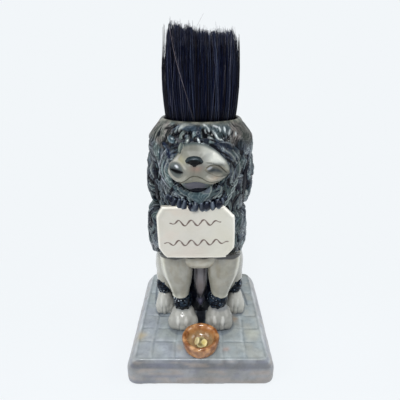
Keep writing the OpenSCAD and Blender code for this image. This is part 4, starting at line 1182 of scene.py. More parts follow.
# Brush marks: how far each rises, its colour, its width and its points at x and z
HEAD_MARKS = [
    # Under the rim, a painted highlight on the right, and dark at the parting
    (0.15, (74, 86, 90), 5.0, [(1.8, 110.2), (6.0, 109.6), (10.4, 108.6)]),
    (0.10, (58, 72, 84), 3.0, [(-7.0, 110.6), (-2.6, 110.4)]),
    (0.00, (30, 40, 52), 2.0, [(-0.7, 112.0), (-0.9, 109.0), (-0.8, 105.0)]),
    (0.25, (146, 152, 150), 1.2, [(-5.0, 111.3), (-7.2, 110.6), (-8.6, 109.0)]),
    # Dark pits between the locks of the fringe
    (-0.7, BLACK, 1.3, [(-7.7, 109.2), (-9.0, 107.3), (-9.4, 105.9), (-8.4, 105.0), (-6.9, 105.6)]),
    (-0.7, BLACK, 1.3, [(-6.4, 105.4), (-5.2, 103.9)]),
    (-0.7, BLACK, 1.5, [(-4.2, 109.0), (-4.0, 107.0), (-3.6, 104.3)]),
    (-0.8, BLACK, 2.6, [(0.9, 109.4), (2.0, 107.6), (2.4, 104.6)]),
    (-0.7, BLACK, 1.5, [(2.6, 109.0), (4.6, 108.0), (5.4, 106.4)]),
    (-0.6, BLACK, 1.3, [(7.0, 108.6), (9.4, 106.9)]),
    (-0.6, BLACK, 1.2, [(-13.9, 106.2), (-15.3, 104.4)]),
    (-0.6, (16, 26, 48), 2.4, [(-14.9, 103.4), (-13.4, 100.8), (-12.9, 98.4)]),
    (0.10, (84, 98, 108), 0.5, [(-15.4, 102.6), (-13.8, 100.2)]),
    (0.10, (64, 78, 92), 0.45, [(-13.2, 102.6), (-12.4, 99.6)]),
    (-0.5, DEEP, 1.6, [(-10.8, 103.3), (-8.4, 103.8)]),
    (-0.4, (24, 34, 50), 1.8, [(5.8, 104.5), (9.3, 103.9), (12.4, 101.9)]),
    # Locks that stand out of them, some with painted highlights in white
    (0.45, (98, 108, 106), 2.1, [(-7.0, 108.4), (-8.0, 106.2)]),
    (0.15, (138, 146, 142), 0.5, [(-6.6, 108.0), (-7.4, 106.2)]),
    (0.40, (60, 76, 84), 2.4, [(-12.0, 106.4), (-11.2, 104.8)]),
    (0.15, (104, 120, 128), 0.5, [(-13.1, 106.2), (-12.3, 104.5), (-10.8, 104.2)]),
    (0.10, GLINT_WHITE, 0.5, [(-11.6, 106.0), (-11.2, 105.8)]),
    (0.35, (96, 106, 106), 1.6, [(-5.0, 106.6), (-5.8, 103.9)]),
    (0.15, (192, 198, 196), 0.6, [(-4.9, 105.8), (-5.7, 103.7)]),
    (0.30, GLINT_WHITE, 0.8, [(-1.1, 106.5), (-0.3, 104.1)]),
    (0.30, (190, 196, 196), 0.9, [(0.3, 104.4), (2.2, 103.2)]),
    (0.35, (150, 156, 158), 1.0, [(3.1, 106.9), (5.0, 105.3)]),
    (0.30, (52, 66, 70), 2.2, [(6.4, 108.3), (8.2, 106.8)]),
    (0.20, (196, 204, 204), 0.5, [(5.3, 108.3), (6.4, 106.3), (8.1, 105.6), (9.0, 106.2)]),
    (0.20, (110, 118, 124), 0.5, [(7.6, 104.9), (10.4, 104.6), (12.6, 103.2)]),
    # Painted glints and highlights in white and near white on the fringe's right, with dark pits and pale
    # lines among the locks
    (0.15, GLINT_WHITE, 0.6, [(0.9, 111.3), (2.2, 110.7)]),
    (0.15, GLINT_WHITE, 0.6, [(2.7, 110.2), (3.4, 109.0)]),
    (0.10, (160, 168, 170), 0.5, [(1.6, 109.6), (2.2, 108.6)]),
    (-0.3, (40, 50, 60), 0.5, [(3.8, 110.9), (4.4, 109.6)]),
    (0.15, (196, 200, 204), 0.6, [(4.8, 110.9), (6.4, 110.2)]),
    (-0.3, (44, 54, 62), 0.5, [(5.4, 109.9), (6.0, 108.7)]),
    (0.15, GLINT_WHITE, 0.6, [(7.0, 110.2), (7.7, 108.7)]),
    (0.10, (150, 158, 160), 0.45, [(4.6, 109.2), (5.2, 108.2)]),
    (0.15, GLINT_WHITE, 0.65, [(9.0, 110.0), (9.5, 108.3)]),
    (-0.3, (44, 54, 62), 0.5, [(10.2, 109.8), (10.4, 108.4)]),
    (0.15, (186, 192, 194), 0.6, [(11.4, 108.9), (11.0, 107.2)]),
    (0.15, (176, 184, 184), 0.6, [(13.8, 107.9), (13.9, 106.7)]),
    (-0.4, BLACK, 0.8, [(3.6, 106.0), (6.0, 105.2)]),
    (-0.4, BLACK, 0.7, [(8.0, 107.2), (8.8, 105.8)]),
    (-0.4, BLACK, 0.7, [(10.6, 107.2), (11.4, 105.4)]),
    (-0.4, (18, 26, 36), 0.7, [(12.6, 108.4), (12.4, 106.4)]),
    (-0.4, BLACK, 0.8, [(-9.8, 108.6), (-11.6, 107.2)]),
    (-0.4, BLACK, 0.7, [(-12.4, 109.8), (-14.6, 109.0)]),
    (0.12, (120, 130, 132), 0.5, [(-9.0, 110.2), (-10.6, 108.4)]),
    (0.12, (110, 122, 126), 0.5, [(-2.8, 109.0), (-3.0, 106.6)]),
    (0.12, (120, 128, 128), 0.5, [(-9.6, 105.4), (-10.2, 104.0)]),
    (-0.4, BLACK, 0.9, [(-6.4, 107.6), (-6.8, 106.4)]),
    # Lines that sweep round the face
    (0.12, (96, 104, 112), 1.0, [(-15.8, 101.0), (-16.6, 97.6)]),
    (0.15, (140, 146, 152), 0.55, [(-14.7, 100.8), (-17.3, 95.0), (-17.8, 91.2), (-16.6, 88.0),
                                   (-13.9, 85.6), (-11.8, 84.4)]),
    (0.12, (112, 126, 128), 0.5, [(-13.9, 98.4), (-16.0, 94.5), (-16.3, 91.0), (-15.2, 88.2),
                                  (-12.6, 86.4)]),
    (0.12, (130, 136, 136), 0.5, [(-13.2, 96.8), (-14.9, 93.6), (-15.0, 90.6), (-13.4, 88.0)]),
    (-0.4, BLACK, 0.8, [(7.9, 101.0), (9.9, 99.9), (12.0, 98.0)]),
    (-0.4, BLACK, 0.8, [(12.4, 96.8), (14.4, 93.4)]),
    (0.15, (132, 138, 136), 0.5, [(9.0, 102.0), (12.8, 99.4), (15.0, 95.0)]),
    (0.12, (126, 132, 130), 0.5, [(12.8, 101.2), (15.8, 97.2), (16.6, 92.5), (15.4, 88.0), (12.6, 85.4)]),
    (0.12, (120, 128, 124), 0.5, [(12.8, 94.0), (13.6, 91.2), (12.4, 88.4)]),
    (-0.5, DEEP, 1.5, [(15.8, 86.8), (17.3, 81.6)]),
]


# The socket in the crown, its floor, and how far out its mouth still counts as inside
SOCKET_R = 15.6
SOCKET_Z = 89.8
MOUTH_R = 15.9


def in_front(V):
    """Share by which points of the rim lie towards the front."""
    return smooth(HEAD_Y - V[:, 1], 6, 12)


def in_mouth(V):
    return np.hypot(V[:, 0], V[:, 1] - HEAD_Y) < MOUTH_R


def build_head():
    a = turns()
    z = np.arange(NECK - 0.3, 111.45, FINE)

    def gloom(P):
        x, y, z = np.moveaxis(P, -1, 0)
        before = smooth(-y, 4, 10)
        edge = inside(FACE, x, z) * before - 30 * (1 - before)
        by_face = 0.3 * smooth(edge, -3.5, -1.5)
        brow = smooth(z, 102, 103.6) * smooth(-z, -107.4, -105.6) * smooth(-np.abs(x + 0.4), -14, -11)
        # Painted highlight: the front of the fringe lighter to the right of the parting
        pale = smooth(z, 106.5, 108) * smooth(x, 0.6, 2.0) * smooth(-x, -12, -9) * before
        low = smooth(-z, -86, -80) * smooth(x, 8, 14)
        return by_face + 0.95 * (brow * before) - 0.5 * pale + 0.4 * low - 0.1

    def sink(P):
        face = smooth(inside(FACE, P[..., 0], P[..., 2]), -1.0, 0.6) * smooth(-P[..., 1], 4, 8)
        return 0.15 + 0.9 * face

    def furrows(P, A, Z):
        x, y, h = np.moveaxis(P, -1, 0)
        before = smooth(-y, 2, 6)
        face = smooth(inside(FACE, x, h) * before - 30 * (1 - before), -3.5, -1)
        chin = smooth(1.5 - np.hypot(apart(A, CHIN) / 33, (h - 83.5) / 8), 0, 0.3)
        ends = smooth(9 * (h - NECK) / HEAD_H) * smooth(9 * (1 - (h - NECK) / HEAD_H))
        deep = furrow(A, Z - NECK) * ends * (1 - face) * (1 - chin)
        for mid in EAR_MID.values():
            far = np.hypot(apart(A, mid) / EAR_REACH, (h - EAR_Z) / 13.5)
            deep = deep * (1 - smooth(1.15 - far, 0, 0.3))
        return deep * (1 - crown_calm(P))

    off, C = fleece_skin(head_at, a, z, around_face, 82, furrows, gloom=gloom, calm=crown_calm,
                         sink=sink, marks=HEAD_MARKS)
    A, Z = np.meshgrid(a, z)
    off = off * (1 - smooth(Z, 110.6, 111.4)) + 0.05 * smooth(Z, 110.6, 111.4)
    outer = on(head_at, A, Z, off)[0]
    # The crown closes over a ceramic lip, and the socket goes down inside it
    inner = turned([
        (17.1, 111.75), (16.85, 112.0), (16.5, 112.1), (16.1, 112.0), (15.8, 111.7), (15.62, 111.3),
        (SOCKET_R, 110.4), (SOCKET_R, 104), (SOCKET_R, 96), (SOCKET_R, 90.0), (15.4, SOCKET_Z),
        (7, SOCKET_Z),
    ], np.radians(a), HEAD_Y)
    V, F = loft(np.concatenate([outer, inner]))
    lip = V[len(C):]
    rim = mix(rgb(92, 96, 90), rgb(126, 126, 116), smooth(swell(lip, 1.6, 83), -1, 1))
    rim = rim * (1 - 0.45 * in_front(lip))[:, None]
    C = np.vstack([C, mix(rim, rgb(30, 27, 25), in_mouth(lip))])
    top = smooth(V[:, 2], 110.2, 111.3) * ~in_mouth(V)
    before = in_front(V)
    tone = mix(rgb(96, 100, 94), rgb(132, 132, 122), smooth(swell(V, 1.6, 83), -1, 1))
    C = mix(C, tone * (1 - 0.4 * before)[:, None], (0.8 - 0.3 * before) * top)

    # One lock of the fringe hangs over the forehead
    hang = [(-109.5, 104.6, DOWN + 0.35, -0.8, 4.6, 2.3, 0.9, 1.9)]

    def fringe_tint(P, light, side, along, tone):
        C = mix(rgb(58, 68, 68), rgb(108, 116, 110), light)
        return mix(np.broadcast_to(rgb(150, 156, 148), C.shape), C, smooth(side, 0.3, 0.8))

    parts = [(V, F, C), locks(head_at, hang, fringe_tint, ridges=1.3, wavy=0.0)]
    dressed("head_curls", parts, fleece_glaze, "figure", "head")


EAR_MARKS = [
    (-0.5, BLACK, 1.2, [(-23.2, 98.4), (-21.4, 97.8)]),
    (-0.5, BLACK, 1.3, [(-22.4, 94.8), (-20.4, 93.8)]),
    (-0.5, DEEP, 1.5, [(-21.0, 91.6), (-19.6, 89.4)]),
    (-0.5, BLACK, 1.3, [(-22.8, 86.8), (-21.6, 84.0)]),
    (-0.5, BLACK, 1.4, [(-20.6, 83.4), (-20.0, 81.0)]),
    (-0.5, DEEP, 1.2, [(-22.2, 80.4), (-20.9, 79.0)]),
    (-0.5, DEEP, 1.2, [(-21.4, 76.6), (-19.6, 75.4)]),
    (-0.5, DEEP, 1.6, [(19.6, 96.4), (18.5, 93.2)]),
    (-0.5, BLACK, 1.3, [(21.2, 91.0), (19.6, 88.0)]),
    (-0.5, DEEP, 1.3, [(21.6, 85.2), (20.8, 83.0)]),
    (-0.5, DEEP, 2.0, [(18.8, 81.2), (19.6, 77.4), (18.8, 74.0)]),
    (0.12, (142, 148, 150), 0.5, [(18.0, 100.6), (20.4, 97.0), (21.0, 92.0)]),
    (0.12, (146, 152, 150), 0.5, [(20.4, 83.6), (21.4, 80.0), (20.8, 76.0)]),
    (0.12, (134, 142, 142), 0.5, [(-22.6, 97.0), (-22.4, 92.0), (-21.4, 87.4)]),
    (0.12, (140, 146, 146), 0.5, [(-19.6, 96.6), (-19.0, 91.0), (-18.6, 85.0), (-19.4, 79.6)]),
]


def pad(place, A, Z, off, back, C):
    """Closed pad on a surface: its painted front, and a navy back at one depth."""
    front = on(place, A, Z, off)[0]
    rear = on(place, A, Z, np.full(A.shape, back))[0]
    V, F = between(front, rear)
    C = C.reshape(*A.shape, 3)
    C = np.concatenate([C, np.broadcast_to(NAVY, C.shape)], axis=1).reshape(-1, 3)
    return V, F, np.vstack([C, NAVY, NAVY])


def build_ear(side, node, seed):
    place = ear_at(side)
    mid = EAR_MID[side]
    a, z = turns(mid - EAR_REACH - 1, mid + EAR_REACH + 1), np.arange(70.8, 101, FINE)
    A, Z = np.meshgrid(a, z)
    far = ear_span(A, Z, mid)
    off, C = fleece_skin(place, a, z, flow(seed, 0.45, NECK, 4.0), seed + 20,
                         lambda P, A, Z: 0.8 * furrow(A, Z - NECK),
                         gloom=lambda P: none(P) + 0.5, marks=EAR_MARKS)
    share = (apart(A, mid) / EAR_REACH) ** 2 / np.maximum(far, 0.05) ** 2
    start = 0.86 - 0.36 * share - 0.4 * smooth(Z, 90, 95)
    off = off - 0.1 - 2.6 * smooth(far, start, 1.04)
    coat(node, *pad(place, A, Z, off, -1.6, C))


BEARD_MARKS = [
    (0.1, (60, 76, 82), 2.6, [(-10.6, 87.0), (-6.0, 84.8), (-2.8, 83.4)]),
    (0.1, (66, 78, 80), 2.6, [(8.6, 87.0), (5.0, 85.2), (1.4, 83.4)]),
    (-0.4, (14, 22, 36), 0.7, [(-9.6, 86.2), (-7.4, 85.4)]),
    (-0.4, (14, 22, 36), 0.7, [(-7.6, 84.4), (-5.6, 83.6)]),
    (-0.4, (14, 22, 36), 0.7, [(7.6, 86.4), (5.8, 85.8)]),
    (-0.4, (14, 22, 36), 0.7, [(6.2, 84.4), (4.4, 83.6)]),
    (0.12, (140, 150, 150), 0.5, [(-9.0, 84.6), (-7.4, 83.4)]),
    (0.12, (140, 150, 150), 0.5, [(8.4, 84.4), (6.6, 83.4)]),
    (0.15, (128, 136, 134), 0.5, [(-5.2, 89.2), (-4.4, 86.4), (-1.6, 83.4)]),
    (0.12, (118, 128, 128), 0.5, [(-9.8, 88.2), (-8.4, 85.6), (-4.4, 83.4)]),
    (0.12, (122, 130, 126), 0.5, [(4.0, 89.0), (4.4, 86.6), (2.2, 83.6)]),
    (0.12, (112, 118, 116), 0.5, [(8.4, 88.4), (8.2, 85.6), (5.0, 83.4)]),
    (-0.6, DEEP, 1.7, [(-10.8, 82.8), (-8.6, 81.8)]),
    (-0.6, DEEP, 1.8, [(-6.8, 82.6), (-5.0, 81.2)]),
    (-0.6, DEEP, 1.8, [(-3.0, 81.8), (-0.6, 80.6)]),
    (-0.6, DEEP, 1.8, [(1.6, 81.6), (3.6, 80.8)]),
    (-0.6, DEEP, 1.8, [(4.8, 82.2), (7.6, 81.8)]),
    (0.15, (120, 130, 140), 0.6, [(-7.6, 83.2), (-7.0, 82.0)]),
    (0.15, (120, 128, 134), 0.6, [(3.4, 82.6), (4.2, 81.6)]),
]


def build_beard():
    rng = np.random.default_rng(75)
    a, z = turns(-129, -59), np.arange(79.4, 90.1, FINE)
    A, Z = np.meshgrid(a, z)

    def gloom(P):
        return 0.4 + 0.8 * smooth(-P[..., 2], -84, -81) + 0.5 * smooth(-P[..., 0], 3, 7)

    off, C = fleece_skin(beard_at, a, z, flow(19, 0.6, NECK, 3.6), 85,
                         lambda P, A, Z: 0.3 * furrow(A, Z - NECK), gloom=gloom, marks=BEARD_MARKS)
    P = beard_at(A, Z)
    x, h = P[..., 0], P[..., 2]
    # A tuft hangs from the middle of the chin, combed in a fan
    edge = closed_curve([(-4.6, 85.6), (3.2, 85.6), (2.2, 83.4), (-0.7, 80.4), (-3.6, 83.2)], 6)
    tuft = inside(edge, x, h)
    sway = swell(P.reshape(-1, 3), 1.5, 86).reshape(A.shape)
    fan = (x + 0.8) * 3.6 / (0.35 + 0.11 * np.clip(h - 80, 0, 9))
    comb_lines = 0.5 + 0.5 * np.cos(fan + 2.2 * sway)
    on_tuft = smooth(tuft, -0.2, 0.5)
    off = off * (1 - on_tuft) + on_tuft * (0.5 * smooth(tuft, 0, 1.6) + 0.09 * comb_lines)
    C = mix(C, mix(rgb(48, 64, 70), rgb(78, 94, 98), comb_lines.ravel()), on_tuft.ravel())
    C = mix(C, rgb(124, 134, 132), (0.5 * bell((tuft - 0.1) / 0.22)).ravel())
    off = off - 0.2 - 3.0 * smooth(beard_span(A, Z), 0.85, 1.1)
    # It keeps clear of the lower lip
    off = off - 5.2 * smooth(1.06 - np.hypot((x + 2.0) / 6.2, (h - 90.2) / 4.9), 0, 0.14)
    # Lobes along its lower edge, over the placard
    rows = []
    for at in np.linspace(-125, -64, 13):
        d = apart(at, CHIN)
        foot = 81.7 + 1.5 * (d / 30) ** 2 + rng.uniform(-0.5, 0.6)
        long = rng.uniform(3.2, 4.3) + 1.3 * dome(min(1, abs(d + 3) / 22))
        rows.append((at, foot, DOWN + math.radians(d) * 0.4, rng.uniform(-1.4, 1.4), long,
                     rng.uniform(2.2, 3.0), 0.8, rng.uniform(0, 1)))

    def lobe_tint(P, light, side, along, tone):
        body = mix(rgb(22, 32, 50), rgb(104, 114, 126), light)
        dark = smooth(along, 0.02, 0.15) * smooth(-along, -0.75, -0.45)
        body = mix(body, rgb(6, 10, 26), dark * (0.3 + 0.7 * tone))
        body = mix(body, rgb(88, 98, 108), 0.75 * smooth(along, 0.50, 0.72))
        return mix(np.broadcast_to(rgb(92, 102, 114), body.shape), body, smooth(side, 0.05, 0.5))

    parts = [pad(beard_at, A, Z, off, -2.2, C)]
    parts.append(locks(beard_at, rows, lobe_tint, ridges=1.0, wavy=0.0, blunt=True))
    dressed("beard_curls", parts, fleece_glaze, "figure", "beard")


def build_tail():
    rng = np.random.default_rng(76)
    middle = PAVING + 12.5
    bends = [(0, 23.0, PAVING + 1.5), (0, 24.6, PAVING + 7), (0, 23.4, PAVING + 12)]
    stem = limb(bends, [2.2, 2.0, 1.8])
    V, F = melt([stem, ball((0, 23.6, middle), (4.6, 3.2, 4.4))], 0.4, 4)

    def place(a, z):
        b = np.radians(a)
        t = np.clip((z - PAVING - 12.5) / 4.8, -0.999, 0.999)
        r = np.sqrt(1 - t * t)
        return np.stack([4.8 * r * np.cos(b), 23.6 + 3.4 * r * np.sin(b), z], -1)

    def tail_tint(P, light, side, along, tone):
        """Pale on the combed ridges, slate between them and navy at the foot."""
        hue = smooth(swell(P, 3.4, 77), -0.8, 0.8)
        mid = mix(rgb(66, 80, 84), rgb(78, 78, 88), hue)
        low = mix(rgb(26, 36, 48), rgb(36, 40, 50), hue)
        C = mix(low, mid, np.clip(0.2 + 0.9 * light, 0, 1))
        C = mix(C, rgb(150, 163, 162), smooth(light, 0.75, 1.0) * (0.15 + 0.75 * tone))
        foot = side * (0.35 + 0.65 * smooth(along, 0.0, 0.3))
        C = mix(np.broadcast_to(NAVY, C.shape), C, foot)
        return C * (0.45 + 0.65 * smooth(tone, 0.05, 0.6))[:, None] * 0.8

    seeds = seeds_on(place, middle + np.array([-2.0, 0.6, 3.0]), 3.4,
                     lambda a, z: np.sin(np.radians(a)) > -0.35, rng)
    n = len(seeds)
    bend = rng.uniform(0.7, 1.5, n) * rng.choice([-1, 1], n)
    rows = np.stack([
        seeds[:, 0], seeds[:, 1], DOWN + rng.normal(0, 0.32, n), bend, rng.uniform(3.6, 4.8, n),
        rng.uniform(2.4, 3.2, n), rng.uniform(0.9, 1.2, n), rng.uniform(0.2, 0.5, n),
    ], 1)
    parts = [(V, F, mix(SKIN, NAVY, smooth(V[:, 2], PAVING + 7.5, PAVING + 9.5)))]
    parts.append(locks(place, rows, tail_tint, steps=9))
    dressed("tail_tuft", parts, cuff_glaze, "figure", "tail")


build_mane()
build_head()
build_ear(-1, "ear_left", 73)
build_ear(1, "ear_right", 74)
build_beard()
build_tail()


# Face

def soft_line(x, xs, zs, reach=0.9):
    """Height at x of a line through points, rounded at its bends."""
    x = np.asarray(x, float)
    return sum(np.interp(x + d * reach, xs, zs) for d in (-1, -0.5, 0, 0.5, 1)) / 5


def lip_z(x):
    """Height of the line between the lips."""
    return soft_line(x, [-13.5, -11.2, -7.9, -5.9, -3.7, -2.1, -0.3, 2.4, 4.3, 6.7, 8.6, 12.0],
                     [88.6, 89.3, 90.2, 91.8, 93.5, 93.8, 93.3, 91.3, 90.6, 90.2, 90.6, 92.0])


def chin_z(x):
    """Height of the lower edge of the lower lip."""
    return soft_line(x, [-13.5, -11.0, -7.9, -5.2, -2.2, 0.3, 3.4, 6.7, 8.7, 12.0],
                     [88.0, 88.7, 89.4, 90.0, 90.9, 90.3, 88.9, 88.6, 89.2, 90.4])


def face_reach(x, z):
    """How far forward the face stands at x and z."""
    head = -head_front(x, z)
    m = smooth(inside(FACE, x, z), -0.7, 1.5)
    # Snout: the forehead slopes out to the nose, and the muzzle falls back to the lip
    rise = np.interp(z, [86, 89, 91, 93.2, 95.5, 98.5, 100.8, 102.2, 104.6],
                     [19.2, 20.6, 22.4, 23.9, 24.8, 25.7, 25.2, 23.2, 19.2])
    wide = np.interp(z, [86, 90, 93, 96, 99, 101, 105], [9.5, 9.5, 7.6, 5.6, 4.9, 5.3, 8.5])
    u = np.abs(x + 2.3) / wide
    snout = rise - (rise - head - 1.2) * smooth(u, 0.25, 1.45)

    def rounded(cx, rx, cz, rz):
        return hump(np.hypot((x - cx) / rx, (z - cz) / rz))

    brow = 0.9 * rounded(-8.8, 4.5, 98.6, 2.6) + 0.9 * rounded(6.2, 5.2, 98.2, 2.8)
    hollow = 1.3 * rounded(-9.1, 3.9, 94.9, 3.2) + 1.3 * rounded(6.0, 5.2, 94.6, 3.0)
    flew = 1.5 * rounded(-7.4, 4.6, 91.9, 2.5) + 1.6 * rounded(4.6, 5.4, 91.3, 2.7)
    whole = np.maximum(snout, head + 1.3) + brow - hollow + flew
    # The lower lip stands back a little, and the chin further
    under = smooth(lip_z(x) - z, -0.15, 0.5)
    whole = whole - 0.55 * under * smooth(-np.abs(x + 1.8), -11, -7)
    step = smooth(chin_z(x) - z, -0.25, 0.35)
    chin = head + 1.2 + 3.9 * dome(np.clip(np.hypot((x + 2.1) / 6.4, (z - 88.4) / 3.7), 0, 1))
    whole = whole * (1 - step) + np.minimum(whole - 0.7, chin) * step
    crease = bell((z - lip_z(x)) / 0.28) * smooth(-np.abs(x + 1.8), -10.5, -8)
    parting = bell((x + 2.2) / 0.5) * smooth(z, 93.4, 94.4) * smooth(-z, -99.0, -98.0)
    whole = whole - 0.30 * crease - 0.25 * parting
    return (head - 0.9) * (1 - m) + whole * m


def head_front(x, z):
    """y of the head's bare front at x and z."""
    half, front = head_size(z)[:2]
    return HEAD_Y - front * np.sqrt(np.maximum(0.02, 1 - (x / half) ** 2))


def build_face():
    xs = np.linspace(-15.5, 14.5, 176)
    zs = np.linspace(84.5, 106.2, 132)
    X, Z = np.meshgrid(xs, zs)
    front = np.stack([X, -face_reach(X, Z), Z], -1)
    V, F = between(front, np.stack([X, head_front(X, Z) + 1.8, Z], -1))
    x, z = V[:, 0], V[:, 2]
    d = inside(FACE, x, z)
    C = all_over(V, rgb(130, 131, 123))
    C = C * (1 + 0.07 * swell(V * [1, 0, 1], 3.0, 91) + 0.05 * swell(V * [1, 0, 1], 1.1, 92))[:, None]
    # Painted light: the right of the forehead lighter, as a highlight, and the upper left of the forehead
    # darker
    C = mix(C, rgb(206, 208, 200), 0.9 * smooth(x - 0.5 * (99 - z), 0, 5) * smooth(z, 95.6, 97.6))
    C = C * (1 - 0.24 * smooth(z, 98.6, 101.0) * smooth(-x, -5.5, -1.5))[:, None]
    muzzle = bell((x + 2.2) / 5.2) * smooth(-z, -98.8, -97.2) * smooth(z, 89, 91)
    C = mix(C, rgb(114, 112, 100), 0.9 * muzzle)
    low = smooth(-z, -94.0, -91.5) * smooth(np.abs(x + 2.0), 2.5, 6)
    C = mix(C, rgb(146, 144, 132), 0.8 * low)
    C = mix(C, rgb(96, 100, 100), 0.75 * hump(np.hypot((x + 9.4) / 5.0, (z - 94.8) / 4.0)))
    under_eye = hump(np.hypot((x - 6.0) / 6.4, (z - 93.7 + 0.42 * (x - 6)) / 3.4))
    C = mix(C, rgb(104, 104, 100), 0.6 * under_eye)
    pink = np.exp(-((x + 1.6) / 2.2) ** 2 - ((z - 97.0) / 1.3) ** 2)
    C = mix(C, rgb(140, 112, 98), 0.7 * pink)
    brow = stroke(x, z, [(-12.0, 97.6), (-8.8, 98.2), (-6.0, 96.6)], 1.6, 0.5)
    C = mix(C, rgb(176, 174, 162), 0.7 * brow)
    for cx, rx, cz, rz, hue, share in [(-7.4, 1.8, 99.2, 2.2, (158, 152, 116), 0.7),
                                       (5.6, 2.6, 92.0, 0.9, (160, 140, 120), 0.4)]:
        C = mix(C, rgb(*hue), share * np.exp(-((x - cx) / rx) ** 2 - ((z - cz) / rz) ** 2))
    rim = smooth(d, 0.2, 0.7) * smooth(-d, -1.5, -0.9) * smooth(-x, 6, 9)
    C = mix(C, rgb(176, 174, 168), 0.7 * rim)
    lip = smooth(lip_z(x) - z, 0.0, 0.4)
    pale = mix(rgb(134, 133, 120), rgb(172, 168, 154), smooth(np.abs(x + 2), 3, 8))
    C = mix(C, pale, lip)
    below = smooth(chin_z(x) - z, -0.1, 0.35)
    C = mix(C, rgb(98, 110, 110), below)
    mauve = smooth(1 - np.hypot((x + 2.1) / 5.2, (z - 88.5) / 2.7), 0.0, 0.4)
    C = mix(C, rgb(106, 100, 110), 0.75 * mauve * below)
    edge = np.hypot((x + 2.1) / 5.6, (z - 88.5) / 2.9) - 0.98
    C = mix(C, rgb(140, 144, 138), 0.8 * (bell(edge / 0.10) * below))
    line = bell((z - lip_z(x)) / 0.26) * smooth(-np.abs(x + 1.8), -10.4, -7.5)
    C = mix(C, rgb(66, 62, 44), 0.9 * line)
    C = mix(C, rgb(64, 76, 78), 0.85 * smooth(-d, -0.7, 0.1))
    C = mix(C, rgb(18, 26, 38), smooth(-d, 0.0, 0.8))
    piece("muzzle_skin", V, F, C, face_glaze, "figure", "muzzle")


def build_nose():
    shapes = [
        ball((-2.4, -25.1, 100.5), (2.9, 1.9, 1.25)),
        ball((-4.2, -25.2, 99.9), (1.5, 1.4, 0.95)),
        ball((-0.5, -25.2, 99.7), (1.5, 1.4, 0.95)),
        ball((-2.35, -25.5, 99.4), (1.9, 1.3, 1.1)),
        ball((-2.3, -25.6, 98.7), (0.95, 0.9, 0.85)),
    ]
    V, F = melt(shapes, 0.16, 6)
    x, y, z = V.T
    pits = sum(np.exp(-((x - c) / 0.6) ** 2 - ((z - 99.5) / 0.4) ** 2) for c in (-4.3, -0.4))
    V = pushed(V, F, -0.5 * (pits * smooth(-y, 25.4, 26.0)))
    # Painted sheen: the nose's top grey-blue, with a painted highlight along it
    top = z - 100.55 + 0.16 * (x + 2.4) ** 2
    C = mix(rgb(1, 2, 4), rgb(34, 43, 47), 0.9 * smooth(top, 0.0, 0.5))
    shine = stroke(x, z, [(-3.6, 100.9), (-2.2, 101.2), (-0.9, 100.9)], 0.4, 0.15)
    C = mix(C, rgb(84, 94, 100), 0.6 * shine)
    piece("nose_tip", V, F, C, nose_glaze, "figure", "nose")


def build_lids():
    parts = []
    f = np.ravel
    for x0, z0, rx, rz, lean in [(-9.7, 94.7, 3.3, 2.7, 0.08), (6.7, 94.1, 5.2, 2.0, -0.40)]:
        A, B = np.meshgrid(np.linspace(-1.15, 1.15, 96), np.linspace(-1.25, 1.25, 70))
        X, Z = x0 + rx * A, z0 + rz * B + lean * rx * A
        d = np.hypot(A, B)
        base = face_reach(X, Z)
        bulge = 1.4 * dome(np.clip(d, 0, 1)) ** 1.3 - 0.5 * smooth(d, 0.92, 1.1)
        if x0 < 0:
            slit = stroke(X, Z, [(-11.9, 94.0), (-9.6, 93.9), (-7.0, 94.6)], 1.15, 0.32)
            shine = stroke(X, Z, [(-9.9, 95.7), (-9.0, 95.6)], 0.9, 0.4)
            C = mix(rgb(82, 88, 86), rgb(88, 94, 94), f(smooth(Z, 93.6, 95.6)))
            C = mix(C, rgb(54, 60, 64), f(0.7 * bell((Z - 94.7) / 0.6)))
            C = mix(C, rgb(118, 118, 110), f(0.8 * smooth(d, 0.70, 1.0)))
            C = mix(C, rgb(178, 176, 172), f(0.8 * smooth(d, 0.9, 1.0) * smooth(-A, 0.0, 0.5)))
            glint, dark = rgb(214, 218, 224), rgb(0, 1, 3)
        else:
            slit = stroke(X, Z, [(2.2, 96.5), (4.2, 96.9), (6.9, 96.0), (10.2, 93.0)], 0.45, 0.2)
            shine = stroke(X, Z, [(2.7, 95.9), (4.2, 95.9)], 0.8, 0.3)
            iris = stroke(X, Z, [(3.0, 94.9), (5.0, 94.8), (8.0, 93.6)], 1.7, 0.9)
            C = mix(rgb(118, 116, 106), rgb(48, 54, 58), f(iris))
            C = mix(C, rgb(80, 84, 80), f(0.7 * smooth(X, 7.0, 9.5)))
            C = mix(C, rgb(126, 122, 110), f(smooth(d, 0.72, 1.02)))
            glint, dark = rgb(158, 162, 168), rgb(58, 56, 50)
        C = mix(mix(C, glint, f(0.85 * shine)), dark, f(slit)).reshape(*X.shape, 3)
        front = np.stack([X, -(base + bulge - 0.35 * slit), Z], -1)
        V, F = between(front, np.stack([X, -(base - 1.2), Z], -1))
        C = np.concatenate([C, C[:, ::-1]], axis=1).reshape(-1, 3)
        parts.append((V, F, np.vstack([C, C[:2]])))
    dressed("eyelids_skin", parts, lid_glaze, "figure", "eyelids")


build_face()
build_nose()
build_lids()


# Placard and its cord

# Length of one wave of the brushed rules
RULE_WAVE = 5.2


